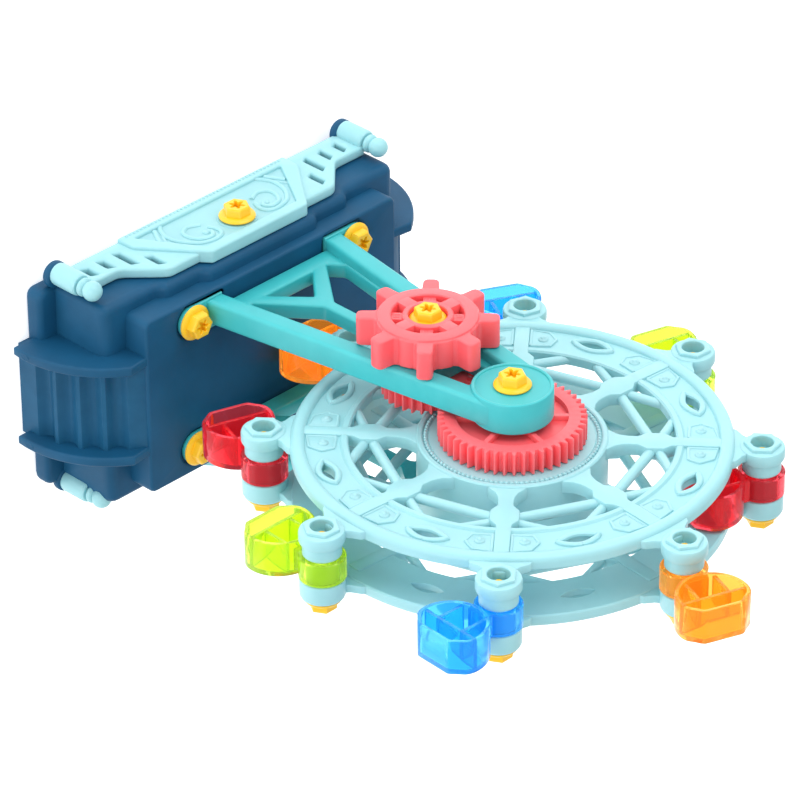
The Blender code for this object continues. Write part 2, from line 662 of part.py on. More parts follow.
# A leg, drawn for the -Y side and turned about Z for the other. Its outline is drawn in XZ.
def build_leg(root, face):
    front = -LEG_OUTER_Y
    rail_back = front + LEG_RAIL_DEPTH
    boss_back = -LEG_BOSS_INNER_Y
    foot = LEG_FOOT_Z
    top = WHEEL_HEIGHT
    slope = math.degrees(math.atan2(top - foot, LEG_FOOT_HALF - LEG_NECK_HALF))
    outline = [(LEG_FOOT_HALF, foot)] + arc(0, top, LEG_BOSS_RADIUS, 90 - slope, 90 + slope, 12)
    outline.append((-LEG_FOOT_HALF, foot))

    def rail_inner(height):
        share = (height - foot) / (top - foot)
        return LEG_FOOT_HALF + (LEG_NECK_HALF - LEG_FOOT_HALF) * share - LEG_RAIL_WIDTH

    half = LEG_BRACE_WIDTH / 2
    bearing_top = CRANK_HEIGHT + CRANK_BEARING_RADIUS
    web_bottom = foot + LEG_BAND_HEIGHT
    node = CRANK_HEIGHT - LEG_BRACE_NODE
    arm = math.hypot(LEG_ARM_FOOT, node - web_bottom)
    arm_half = LEG_ARM_WIDTH * arm / (node - web_bottom)
    arm_rise = LEG_ARM_WIDTH * arm / LEG_ARM_FOOT
    corner = web_bottom + LEG_ARM_WIDTH
    side_hole = [(LEG_ARM_FOOT, web_bottom), (rail_inner(corner) - LEG_LEDGE, corner),
                 (rail_inner(bearing_top - 2 * half) - LEG_LEDGE, bearing_top - 2 * half),
                 (CRANK_BEARING_RADIUS, CRANK_HEIGHT - half),
                 (half, CRANK_HEIGHT - CRANK_BEARING_RADIUS - half), (half, node)]
    foot_hole = [(arm_half - LEG_ARM_FOOT, web_bottom), (LEG_ARM_FOOT - arm_half, web_bottom),
                 (0.0, node - arm_rise)]
    neck_bottom = bearing_top + half / 2
    neck_top = top - LEG_BOSS_RADIUS - half
    neck_half = rail_inner(neck_top) - half
    neck_hole = [(-neck_half, neck_bottom), (neck_half, neck_bottom),
                 (neck_half + half / 2, (neck_bottom + neck_top) / 2), (neck_half, neck_top),
                 (-neck_half, neck_top), (-neck_half - half / 2, (neck_bottom + neck_top) / 2)]
    leg = flat_solid("leg", [outline, side_hole, mirror_points(side_hole), foot_hole, neck_hole],
                     front, rail_back)
    web_edge = [(rail_inner(web_bottom), foot + LEG_BAND_HEIGHT / 2)]
    web_top = top - LEG_BOSS_RADIUS * math.cos(math.radians(35))
    web_edge.append((rail_inner(web_top), web_top))
    web_edge += arc(0, top, LEG_BOSS_RADIUS + SEAT_GAP, -60, -90, 3)[:-1]
    web_outline = web_edge + [(0.0, top - LEG_BOSS_RADIUS - SEAT_GAP)] + mirror_points(web_edge)
    pocket_front = flat_solid("pocket_front", [web_outline], front - SEAT_GAP, front + LEG_WEB_RECESS)
    pocket_back = flat_solid("pocket_back", [web_outline], front + LEG_WEB_RECESS + LEG_WEB_DEPTH,
                             rail_back + SEAT_GAP)
    cut(leg, pocket_front, pocket_back)
    boss = flat_solid("boss", [circle(0, top, LEG_BOSS_RADIUS - SEAT_GAP, HUB_STEPS)],
                      rail_back - LEG_WEB_DEPTH, boss_back)
    bearing = flat_solid("bearing", [circle(0, CRANK_HEIGHT, CRANK_BEARING_RADIUS, RIM_STEPS // 2)],
                         front + LEG_LEDGE, boss_back)
    tab_base = BASE_HEIGHT - LEG_TAB_SINK
    tabs = flat_solid("tabs", [tab_outline(side * FOOT_SCREW_X, -FOOT_SCREW_Y, 0.0) for side in (-1, 1)],
                      tab_base, tab_base + LEG_TAB_THICKNESS, "Z")
    add(leg, boss, bearing, tabs)
    dish = flat_solid("dish", [circle(0, top, LEG_BOSS_RADIUS - LEG_BOSS_RIM, HUB_STEPS)],
                      front - SEAT_GAP, front + LEG_BOSS_RECESS)
    screw_hole = flat_solid("screw_hole", [circle(0, top, SCREW_HOLE_RADIUS, HOLE_STEPS)],
                            front, boss_back - SEAT_GAP)
    socket = flat_solid("socket", [circle(0, top, AXLE_RADIUS + SEAT_GAP, EAR_STEPS)],
                        boss_back - AXLE_SOCKET_DEPTH, boss_back + SEAT_GAP)
    bore = flat_solid("bore", [circle(0, CRANK_HEIGHT, CRANK_SHAFT_RADIUS + RUN_GAP, EAR_STEPS)],
                      front, boss_back + SEAT_GAP)
    tab_holes = flat_solid("tab_holes", [circle(side * FOOT_SCREW_X, -FOOT_SCREW_Y, SCREW_HOLE_RADIUS,
                                                HOLE_STEPS) for side in (-1, 1)],
                           tab_base - SEAT_GAP, BASE_HEIGHT + LEG_TAB_THICKNESS, "Z")
    cut(leg, dish, screw_hole, socket, bore, tab_holes)
    place_piece(leg, "leg_front" if face < 0 else "leg_rear", "teal", root)
    if face > 0:
        leg.rotation_euler = (0.0, 0.0, math.pi)


def build_axle(root):
    end = LEG_BOSS_INNER_Y + AXLE_SOCKET_DEPTH - SEAT_GAP
    profile = [(0.0, -end), (AXLE_RADIUS, -end), (AXLE_RADIUS, end), (0.0, end)]
    axle = turned_solid("axle", profile, EAR_STEPS)
    depth = AXLE_SCREW_LENGTH - (LEG_OUTER_Y - LEG_BOSS_RECESS - end) + 2 * SEAT_GAP
    for face in (-1, 1):
        hole = flat_solid("hole", [circle(0, 0, SCREW_HOLE_RADIUS, HOLE_STEPS)],
                          face * (end - depth), face * (end + SEAT_GAP))
        cut(axle, hole)
    place_piece(axle, "wheel_axle", "teal", root, (0.0, 0.0, WHEEL_HEIGHT))


def build_fixed_screws(root):
    screw = screw_solid("screw", FOOT_SCREW_LENGTH)
    upright = rotated_copy(screw, "upright", Matrix.Rotation(-math.pi / 2, 4, "X"))
    seat = BASE_HEIGHT - LEG_TAB_SINK + LEG_TAB_THICKNESS + SEAT_GAP
    for number, (u, v) in enumerate(foot_screw_places(), 1):
        copy = upright if number == 1 else solid_from("upright", upright.data)
        place_piece(copy, "foot_screw_%d" % number, "yellow", root, (u, v, seat))
    seat = BLOCK_HALF_DEPTH + 2 * SEAT_GAP + PLAQUE_DEPTH - PLAQUE_SINK / 2
    longer = screw_solid("screw", AXLE_SCREW_LENGTH)
    for face, name in ((-1, "panel_screw_front"), (1, "panel_screw_rear")):
        copy = screw if face < 0 else solid_from("screw", screw.data)
        place_piece(copy, name, "yellow", root, (0.0, face * seat, PANEL_SCREW_Z))
        if face > 0:
            copy.rotation_euler = (0.0, 0.0, math.pi)
    seat = LEG_OUTER_Y - LEG_BOSS_RECESS + SEAT_GAP
    for face, name in ((-1, "axle_screw_front"), (1, "axle_screw_rear")):
        copy = longer if face < 0 else solid_from("screw", longer.data)
        place_piece(copy, name, "yellow", root, (0.0, face * seat, WHEEL_HEIGHT))
        if face > 0:
            copy.rotation_euler = (0.0, 0.0, math.pi)


# Gear outline: each flank is a straight line inside its involute curve. A tooth is centred on the
# given angle.
def gear_outline(teeth, first_angle):
    pitch_radius = GEAR_MODULE * teeth / 2
    base_radius = pitch_radius * math.cos(math.radians(PRESSURE_ANGLE))
    root_radius = pitch_radius - GEAR_DEDENDUM * GEAR_MODULE
    tip_radius = pitch_radius + GEAR_ADDENDUM * GEAR_MODULE

    def involute(radius):
        angle = math.acos(min(1.0, base_radius / radius))
        return math.tan(angle) - angle

    half_pitch = math.pi / (2 * teeth) - GEAR_BACKLASH / (2 * pitch_radius)
    outline = []
    for tooth in range(teeth):
        centre = math.radians(first_angle) + 2 * math.pi * tooth / teeth
        flank = []
        for radius in (root_radius, tip_radius):
            half = half_pitch + involute(pitch_radius) - involute(max(radius, base_radius))
            flank.append((radius, half))
        for radius, half in flank:
            outline.append((radius * math.cos(centre - half), radius * math.sin(centre - half)))
        for radius, half in reversed(flank):
            outline.append((radius * math.cos(centre + half), radius * math.sin(centre + half)))
    return outline


def build_drive_gear(wheel):
    gear = flat_solid("gear", [gear_outline(GEAR_TEETH, -90.0)], GEAR_FRONT_Y, GEAR_REAR_Y)
    inner = GEAR_MODULE * (GEAR_TEETH / 2 - GEAR_DEDENDUM) - GEAR_RIM_WIDTH
    windows = []
    pitch = 360 // GEAR_RIB_COUNT
    for rib in range(GEAR_RIB_COUNT):
        start = 15 + pitch * rib
        window = arc(0, 0, inner, start + math.degrees(GEAR_RIB_WIDTH / 2 / inner),
                     start + pitch - math.degrees(GEAR_RIB_WIDTH / 2 / inner), 4)
        near_gap = math.degrees(GEAR_RIB_WIDTH / 2 / GEAR_HUB_RADIUS)
        window += arc(0, 0, GEAR_HUB_RADIUS, start + pitch - near_gap, start + near_gap, 2)
        windows.append(window)
    dishes = flat_solid("dishes", windows, GEAR_FRONT_Y - SEAT_GAP, GEAR_FRONT_Y + GEAR_WEB_RECESS)
    bore = flat_solid("bore", [circle(0, 0, AXLE_RADIUS + RUN_GAP, EAR_STEPS)],
                      GEAR_FRONT_Y - SEAT_GAP, GEAR_REAR_Y + SEAT_GAP)
    cut(gear, dishes, bore)
    place_piece(gear, "drive_gear", "coral", wheel)


# One rim. Its face looks along -Y for the front rim and along +Y for the rear one.
def build_rim(wheel, face):
    face_y = RIM_FRONT_Y if face < 0 else RIM_REAR_Y

    def level(depth):
        return face_y - face * depth

    inner_lip = BAND_INNER_RADIUS + BAND_LIP_WIDTH
    border_inner = RIM_OUTER_RADIUS - RIM_BORDER_WIDTH
    rim = turned_solid("rim", [
        (BAND_INNER_RADIUS, level(BAND_SINK - BAND_LIP_RAISE)),
        (inner_lip, level(BAND_SINK - BAND_LIP_RAISE)),
        (inner_lip, level(BAND_SINK)), (border_inner, level(BAND_SINK)), (border_inner, level(0.0)),
        (RIM_OUTER_RADIUS - RIM_BORDER_ROUND, level(0.0)), (RIM_OUTER_RADIUS, level(RIM_BORDER_ROUND)),
        (RIM_OUTER_RADIUS, level(RIM_BORDER_DEPTH)), (BAND_INNER_RADIUS, level(RIM_BORDER_DEPTH))],
        RIM_STEPS, "Y", True)
    openings = []
    for angle in ear_angles():
        openings += lattice_openings(angle)
    lattice = flat_solid("lattice", [circle(0, 0, inner_lip - SEAT_GAP, RIM_STEPS)] + openings,
                         level(TIE_SINK), level(TIE_SINK + TIE_DEPTH))
    star = []
    spoke_end = border_inner + RIM_BORDER_ROUND
    for angle in ear_angles():
        half = SPOKE_WIDTH / 2
        root = half / math.tan(math.radians(180 / EAR_COUNT))
        star += turn_points([(root, -half), (spoke_end, -half), (spoke_end, half)], angle)
    spokes = flat_solid("spokes", [star], level(SPOKE_SINK), level(TIE_SINK + TIE_DEPTH / 2))
    eye_solid = flat_solid("eyes", [eye_outline(angle + 180 / EAR_COUNT) for angle in ear_angles()],
                           level(-SEAT_GAP), level(RIM_BORDER_DEPTH + SEAT_GAP))
    add(rim, lattice, spokes)
    cut(rim, eye_solid)
    core = flat_solid("core", [circle(0, 0, HUB_RADIUS - HUB_WALL / 2, HUB_STEPS)],
                      level(-SEAT_GAP), level(RIM_BORDER_DEPTH))
    cut(rim, core)
    add(rim, turned_solid("hub", hub_profile(face), HUB_STEPS, "Y", True))
    add_ears(rim, face)
    place_piece(rim, "rim_front" if face < 0 else "rim_rear", "mint", wheel)


# Half of the hub drum: a cup with a sunk disc, a rim round it and a sleeve on the axle
def hub_profile(face):
    bore = AXLE_RADIUS + RUN_GAP
    inside = HUB_RADIUS - HUB_BORDER_WIDTH
    wall = HUB_RADIUS - HUB_WALL
    if face < 0:
        front = HUB_FRONT_Y
        disc = HUB_DISC_Y
        split = HUB_SPLIT_Y
        disc_back = disc + HUB_DISC_THICKNESS
    else:
        front = RIM_REAR_Y
        disc = RIM_REAR_Y - HUB_DISC_SINK
        split = HUB_SPLIT_Y + SEAT_GAP
        disc_back = disc - HUB_DISC_THICKNESS
    inner_end = [(bore, disc)]
    if face > 0:
        spacer = LEG_BOSS_INNER_Y - GEAR_TO_BOSS
        inner_end = [(bore, spacer), (HUB_SLEEVE_RADIUS, spacer), (HUB_SLEEVE_RADIUS, disc)]
    return inner_end + [(inside, disc), (inside, front), (HUB_RADIUS, front), (HUB_RADIUS, split),
                        (wall, split), (wall, disc_back), (HUB_SLEEVE_RADIUS, disc_back),
                        (HUB_SLEEVE_RADIUS, split), (bore, split)]


# The openings of one sector's lattice, from the spoke at the given angle to the next one: a wide one
# by the hub, one under the band between two struts, and a small one on each side of the spokes
def lattice_openings(angle):
    pitch = 360 / EAR_COUNT
    half_spoke = SPOKE_WIDTH / 2 + SEAT_GAP
    half_tie = TIE_WIDTH / 2
    node = polar(NODE_RADIUS, -pitch / 2)
    tie_middle = node[0]
    band = BAND_INNER_RADIUS + BAND_LIP_WIDTH / 3
    strut_end = polar(band, STRUT_SPREAD - pitch / 2)

    def spoke_side(radius):
        u, v = polar(radius, -pitch / 2)
        turn = math.radians(90 - pitch / 2)
        return (u + half_spoke * math.cos(turn), v + half_spoke * math.sin(turn))

    reach = math.hypot(strut_end[0] - node[0], strut_end[1] - node[1])
    along = ((strut_end[0] - node[0]) / reach, (strut_end[1] - node[1]) / reach)

    # A point beside the strut: on its outer side for side 1, at the band or at a distance from the node
    def strut_side(side, distance=None):
        u = node[0] + side * along[1] * half_tie
        v = node[1] - side * along[0] * half_tie
        if distance is None:
            dot = u * along[0] + v * along[1]
            distance = math.sqrt(dot * dot - u * u - v * v + band * band) - dot
        return (u + along[0] * distance, v + along[1] * distance)

    wide = [spoke_side(HUB_RADIUS - HUB_BORDER_WIDTH), spoke_side(NODE_RADIUS - NODE_HALF_LENGTH),
            (tie_middle - half_tie, node[1] + 1.6 * NODE_HALF_WIDTH)]
    upper = [(tie_middle + half_tie, node[1] + 2.2 * NODE_HALF_WIDTH), strut_side(-1)]
    small = [spoke_side(NODE_RADIUS + NODE_HALF_LENGTH), strut_side(1, NODE_HALF_WIDTH + half_tie),
             strut_side(1), spoke_side(band)]
    loops = [wide + flipped(wide), upper + flipped(upper), small, flipped(small)]
    return [turn_points(loop, angle + pitch / 2) for loop in loops]


def flipped(points):
    return [(u, -v) for u, v in reversed(points)]


# A pointed oval across the band, halfway between two spokes
def eye_outline(middle):
    points = []
    steps = 3
    for side in (1, -1):
        for step in range(steps):
            share = side * (2 * step / steps - 1)
            bulge = EYE_HALF_WIDTH * math.cos(math.pi / 2 * share)
            points.append((EYE_CENTRE_RADIUS + side * bulge, EYE_HALF_LENGTH * share))
    return turn_points(points, middle)


def add_ears(rim, face):
    if face < 0:
        body_front = EAR_FRONT_Y + EAR_PAD_HEIGHT
        profile = [(SCREW_HOLE_RADIUS, EAR_FRONT_Y + EAR_SOCKET_DEPTH),
                   (EAR_SOCKET_RADIUS, EAR_FRONT_Y + EAR_SOCKET_DEPTH), (EAR_SOCKET_RADIUS, body_front),
                   (EAR_BODY_RADIUS, body_front),
                   (EAR_BODY_RADIUS, EAR_BODY_END_Y), (EAR_SHOULDER_RADIUS, EAR_BODY_END_Y),
                   (EAR_SHOULDER_RADIUS, COLLAR_FRONT_Y - SEAT_GAP),
                   (EAR_JOURNAL_RADIUS, COLLAR_FRONT_Y - SEAT_GAP),
                   (EAR_JOURNAL_RADIUS, COLLAR_REAR_Y), (SCREW_HOLE_RADIUS, COLLAR_REAR_Y)]
        bracket_front = RIM_FRONT_Y + SPOKE_SINK
    else:
        profile = [(SCREW_HOLE_RADIUS, EAR_JOIN_Y), (EAR_BODY_RADIUS, EAR_JOIN_Y),
                   (EAR_BODY_RADIUS, EAR_REAR_Y - EAR_CHAMFER), (EAR_BODY_RADIUS - EAR_CHAMFER, EAR_REAR_Y),
                   (SCREW_HOLE_RADIUS, EAR_REAR_Y)]
        bracket_front = RIM_REAR_Y - SPOKE_SINK - EAR_BRACKET_DEPTH
    body = turned_solid("ear", profile, EAR_STEPS, "Y", True)
    bodies = []
    brackets = []
    pads = []
    bracket_end = EAR_CIRCLE_RADIUS - EAR_BODY_RADIUS * 0.6
    for angle in ear_angles():
        u, v = polar(EAR_CIRCLE_RADIUS, angle)
        bodies.append(rotated_copy(body, "ear", Matrix.Translation((u, 0.0, v))))
        for radius, sides in ((EAR_PAD_RADIUS, 6), (EAR_SOCKET_RADIUS + SEAT_GAP, HOLE_STEPS)):
            pads.append(turn_points(circle(EAR_CIRCLE_RADIUS, 0, radius, sides), angle))
        inner = RIM_OUTER_RADIUS - RIM_BORDER_WIDTH / 2
        outline = [(inner, -EAR_BRACKET_HALF), (RIM_OUTER_RADIUS + EAR_STEP, -EAR_BRACKET_HALF * 0.8),
                   (bracket_end, -EAR_BRACKET_NECK), (bracket_end, EAR_BRACKET_NECK),
                   (RIM_OUTER_RADIUS + EAR_STEP, EAR_BRACKET_HALF * 0.8), (inner, EAR_BRACKET_HALF)]
        brackets.append(turn_points(outline, angle))
    bpy.data.objects.remove(body, do_unlink=True)
    add(rim, flat_solid("brackets", brackets, bracket_front, bracket_front + EAR_BRACKET_DEPTH),
        joined("ears", bodies))
    if face < 0:
        add(rim, flat_solid("pads", pads, EAR_FRONT_Y, EAR_FRONT_Y + EAR_PAD_HEIGHT + SEAT_GAP))


# Separate solids that don't touch, put in one mesh to serve as one tool
def joined(name, solids):
    work = bmesh.new()
    for solid in solids:
        work.from_mesh(solid.data)
        bpy.data.objects.remove(solid, do_unlink=True)
    mesh = bpy.data.meshes.new(name)
    work.to_mesh(mesh)
    work.free()
    return solid_from(name, mesh)


def build_pinion(crank):
    rear = GEAR_REAR_Y - PINION_SHORTER
    first_tooth = 90.0 + 180.0 / PINION_TEETH
    pinion = flat_solid("pinion", [gear_outline(PINION_TEETH, first_tooth)], GEAR_FRONT_Y, rear)
    shaft = flat_solid("shaft", [circle(0, 0, CRANK_SHAFT_RADIUS, EAR_STEPS)], CRANK_REAR_Y, rear - SEAT_GAP)
    square_end = CRANK_FRONT_Y + CRANK_RECESS_DEPTH + SEAT_GAP
    half = CRANK_SQUARE / 2
    square = flat_solid("square", [box_outline(-half, half, -half, half)], square_end,
                        CRANK_REAR_Y + CRANK_RECESS_DEPTH)
    screw_hole = flat_solid("screw_hole", [circle(0, 0, SCREW_HOLE_RADIUS, HOLE_STEPS)],
                            square_end - SEAT_GAP, square_end + FOOT_SCREW_LENGTH)
    add(pinion, shaft, square)
    cut(pinion, screw_hole)
    place_piece(pinion, "crank_pinion", "coral", crank)


def build_crank(crank):
    handle_front = CRANK_FRONT_Y + CRANK_RING_RAISE
    ring_edge = CRANK_RING_RADIUS - CRANK_RING_RAISE
    body = turned_solid("body", [
        (0.0, CRANK_FRONT_Y), (ring_edge, CRANK_FRONT_Y), (CRANK_RING_RADIUS, handle_front),
        (CRANK_RING_RADIUS, CRANK_REAR_Y), (0.0, CRANK_REAR_Y)], HUB_STEPS)
    handles = [turn_points(handle_outline(), CRANK_REST_ANGLE + 360 / CRANK_HANDLE_COUNT * handle)
               for handle in range(CRANK_HANDLE_COUNT)]
    handle_solid = flat_solid("handles", handles, handle_front + SEAT_GAP, CRANK_REAR_Y - SEAT_GAP)
    slots = []
    for handle in range(CRANK_HANDLE_COUNT):
        angle = CRANK_REST_ANGLE + 360 / CRANK_HANDLE_COUNT * handle
        far_gap = math.degrees(CRANK_SPOKE_WIDTH / 2 / CRANK_RING_INNER)
        near_gap = math.degrees(CRANK_SPOKE_WIDTH / 2 / CRANK_HUB_RADIUS)
        slot_inner = CRANK_HUB_RADIUS + SEAT_GAP
        next_angle = angle + 360 / CRANK_HANDLE_COUNT
        slots.append(arc(0, 0, CRANK_RING_INNER - SEAT_GAP, angle + far_gap, next_angle - far_gap, 3)
                     + arc(0, 0, slot_inner, next_angle - near_gap, angle + near_gap, 1))
    slot_solid = flat_solid("slots", slots, CRANK_FRONT_Y - SEAT_GAP, CRANK_REAR_Y + SEAT_GAP)
    groove_profile = ring_profile(CRANK_HUB_RADIUS, CRANK_RING_INNER, CRANK_FRONT_Y - SEAT_GAP,
                                  CRANK_FRONT_Y + CRANK_SPOKE_SINK)
    groove = turned_solid("groove", groove_profile, HUB_STEPS, "Y", True)
    recess = flat_solid("recess", [circle(0, 0, CRANK_RECESS_RADIUS, EAR_STEPS)],
                        CRANK_FRONT_Y - SEAT_GAP, CRANK_FRONT_Y + CRANK_RECESS_DEPTH)
    half = CRANK_SQUARE / 2 + SEAT_GAP
    square = flat_solid("square", [box_outline(-half, half, -half, half)],
                        CRANK_FRONT_Y, CRANK_REAR_Y + SEAT_GAP)
    add(body, handle_solid)
    cut(body, groove, slot_solid, recess, square)
    place_piece(body, "crank_wheel", "coral", crank)


# A handle with a round end, pointing along +u, spread where it leaves the ring
def handle_outline():
    half = CRANK_HANDLE_WIDTH / 2
    ring = math.sqrt(CRANK_RING_RADIUS ** 2 - (2 * half) ** 2)
    end = arc(CRANK_HANDLE_REACH - half, 0.0, half, -70, 70, 4)
    root = CRANK_RING_RADIUS + half / 3
    return [(ring - half, -1.6 * half), (root, -half)] + end + [(root, half), (ring - half, 1.6 * half)]


def build_gondola_mesh():
    cabin_rear = CABIN_FRONT_Y + CABIN_DEPTH
    outline = cabin_outline(0.0)
    inside = cabin_outline(CABIN_WALL)
    cabin = flat_solid("gondola", [outline], CABIN_FRONT_Y, cabin_rear)
    room = flat_solid("room", [inside], CABIN_FRONT_Y - SEAT_GAP, cabin_rear - CABIN_BACK)
    cut(cabin, room)
    chord = -CABIN_REACH + CABIN_CHORD
    half = CABIN_WALL / 2
    reach = CABIN_HALF_WIDTH - half
    ribs = [box_outline(-reach, reach, chord - half, chord + half)]
    chord_rib = flat_solid("chord_rib", ribs, CABIN_FRONT_Y + SEAT_GAP, cabin_rear - CABIN_BACK / 2)
    top = -CABIN_CENTRE + math.sqrt(CABIN_HALF_WIDTH ** 2 - CABIN_WINDOW_HALF ** 2) - half
    posts = [box_outline(side * CABIN_WINDOW_HALF - half, side * CABIN_WINDOW_HALF + half, chord, top)
             for side in (-1, 1)]
    post_ribs = flat_solid("post_ribs", posts, CABIN_FRONT_Y + 2 * SEAT_GAP, cabin_rear - CABIN_BACK * 0.6)
    collar = turned_solid("collar", [(0.0, COLLAR_FRONT_Y), (COLLAR_RADIUS, COLLAR_FRONT_Y),
                                     (COLLAR_RADIUS, COLLAR_REAR_Y), (0.0, COLLAR_REAR_Y)], EAR_STEPS)
    dome_top = -CABIN_CENTRE + CABIN_HALF_WIDTH
    neck_outline = box_outline(-CABIN_NECK_WIDTH / 2, CABIN_NECK_WIDTH / 2,
                               dome_top - 2.2 * CABIN_WALL, dome_top + CABIN_WALL)
    neck = flat_solid("neck", [neck_outline], COLLAR_FRONT_Y + SEAT_GAP, COLLAR_REAR_Y - SEAT_GAP)
    neck_clear = flat_solid("neck_clear", [inside], CABIN_FRONT_Y - SEAT_GAP, cabin_rear - CABIN_BACK)
    cut(neck, neck_clear)
    neck = settle(neck)
    bore_radius = EAR_JOURNAL_RADIUS + RUN_GAP
    bore_front = COLLAR_FRONT_Y - SEAT_GAP
    bore_rear = COLLAR_REAR_Y + SEAT_GAP
    bore = turned_solid("bore", [(0.0, bore_front), (bore_radius, bore_front), (bore_radius, bore_rear),
                                 (0.0, bore_rear)], EAR_STEPS)
    add(cabin, chord_rib, post_ribs, neck, collar)
    cut(cabin, bore)
    return settle(cabin)


# Cabin outline below the pin: a round roof, drawn-in sides and a flat floor
def cabin_outline(inset):
    radius = CABIN_HALF_WIDTH - inset
    floor = -CABIN_REACH + inset
    floor_half = CABIN_FLOOR_HALF - inset / 3
    corner = CABIN_FLOOR_CORNER
    side_height = -CABIN_CENTRE - (CABIN_REACH - CABIN_CENTRE) * 0.45
    side = radius - (CABIN_HALF_WIDTH - CABIN_FLOOR_HALF) * 0.22
    roof = arc(0.0, -CABIN_CENTRE, radius, 0, 180, 8)
    left = [(-side, side_height), (-floor_half - corner, floor + corner), (-floor_half, floor)]
    return roof + left + [(-u, v) for u, v in reversed(left)]


def build_gondolas(wheel):
    gondola = build_gondola_mesh()
    screw = screw_solid("screw", GONDOLA_SCREW_LENGTH)
    screw.data.transform(Matrix.Rotation(math.pi, 4, "Z"))
    for number, angle in enumerate(ear_angles()):
        u, v = polar(EAR_CIRCLE_RADIUS, angle)
        pin = new_axis("pin_%d" % (number + 1), (u, 0.0, v), wheel)
        copy = gondola if number == 0 else solid_from("gondola", gondola.data)
        colour = CABIN_COLOURS[number % len(CABIN_COLOURS)]
        place_piece(copy, "gondola_%d" % (number + 1), colour, pin)
        copy.rotation_euler = (0.0, -math.radians(CABIN_REST_ANGLES[number] + 90.0), 0.0)
        copy = screw if number == 0 else solid_from("screw", screw.data)
        place_piece(copy, "gondola_screw_%d" % (number + 1), "yellow", wheel, (u, EAR_REAR_Y + SEAT_GAP, v))


clear_scene()
parts = new_collection("ferris_wheel_toy")
cutters = new_collection("cutters")
root_axis = new_axis("base_origin", (0.0, 0.0, 0.0))
wheel_axis = new_axis("wheel_axis", (0.0, 0.0, WHEEL_HEIGHT), root_axis)
crank_axis = new_axis("crank_axis", (0.0, 0.0, CRANK_HEIGHT), root_axis)
build_base(root_axis)
build_cover(root_axis)
for panel_face in (-1, 1):
    build_panel(root_axis, panel_face)
    build_leg(root_axis, panel_face)
    build_rim(wheel_axis, panel_face)
build_axle(root_axis)
build_fixed_screws(root_axis)
build_drive_gear(wheel_axis)
build_pinion(crank_axis)
build_crank(crank_axis)
place_piece(screw_solid("screw", FOOT_SCREW_LENGTH), "crank_screw", "yellow", crank_axis,
            (0.0, CRANK_FRONT_Y + CRANK_RECESS_DEPTH - SEAT_GAP, 0.0))
build_gondolas(wheel_axis)
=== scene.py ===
import bpy
import bmesh
import json
import math
from mathutils import Matrix, Vector


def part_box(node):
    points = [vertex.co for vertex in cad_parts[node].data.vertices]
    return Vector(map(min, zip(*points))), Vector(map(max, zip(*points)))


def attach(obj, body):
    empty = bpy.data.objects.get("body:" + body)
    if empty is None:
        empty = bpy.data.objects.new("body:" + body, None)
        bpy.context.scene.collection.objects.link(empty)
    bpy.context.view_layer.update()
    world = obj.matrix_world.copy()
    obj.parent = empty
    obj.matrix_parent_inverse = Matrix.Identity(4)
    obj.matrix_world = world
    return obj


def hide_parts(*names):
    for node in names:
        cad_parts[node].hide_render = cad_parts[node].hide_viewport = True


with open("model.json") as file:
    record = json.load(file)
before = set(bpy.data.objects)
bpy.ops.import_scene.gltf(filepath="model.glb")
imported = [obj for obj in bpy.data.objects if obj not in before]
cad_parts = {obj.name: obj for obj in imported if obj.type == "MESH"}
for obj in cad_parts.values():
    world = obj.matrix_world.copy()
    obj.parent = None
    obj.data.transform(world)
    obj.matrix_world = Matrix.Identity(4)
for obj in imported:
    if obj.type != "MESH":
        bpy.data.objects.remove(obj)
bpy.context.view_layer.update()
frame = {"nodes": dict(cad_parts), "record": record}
print("frame loaded")

# Places that all pieces share, read from the frame
jointPlaces = {joint["name"]: joint["pos_m"] for joint in frame["record"]["behaviour"]["joints"]}
pinPlaces = {int(name.split("_")[1]): Vector(place) for name, place in jointPlaces.items()
    if name.startswith("cabin_")}
wheelHeight = jointPlaces["wheel_spin"][2]
crankHeight = jointPlaces["crank_spin"][2]
wheelCentre = Vector((0.0, 0.0, wheelHeight))
firstEar = math.degrees(math.atan2(pinPlaces[1].z - wheelHeight, pinPlaces[1].x))
earRadius = math.hypot(pinPlaces[1].x, pinPlaces[1].z - wheelHeight)
white = (1.0, 1.0, 1.0, 1.0)


# Sets a node's inputs to values, or links them when the value is another node's output
def setInputs(tree, node, values):
    for label, value in values.items():
        if isinstance(value, bpy.types.NodeSocket):
            tree.links.new(value, node.inputs[label])
        else:
            node.inputs[label].default_value = value


def addNode(tree, kind, place, **inputs):
    node = tree.nodes.new("ShaderNode" + kind)
    node.location = place
    setInputs(tree, node, {name.replace("_", " "): value for name, value in inputs.items()})
    return node


def addMath(tree, operation, place, *values, clamp=False):
    node = addNode(tree, "Math", place)
    node.operation = operation
    node.use_clamp = clamp
    setInputs(tree, node, dict(enumerate(values)))
    return node.outputs[0]


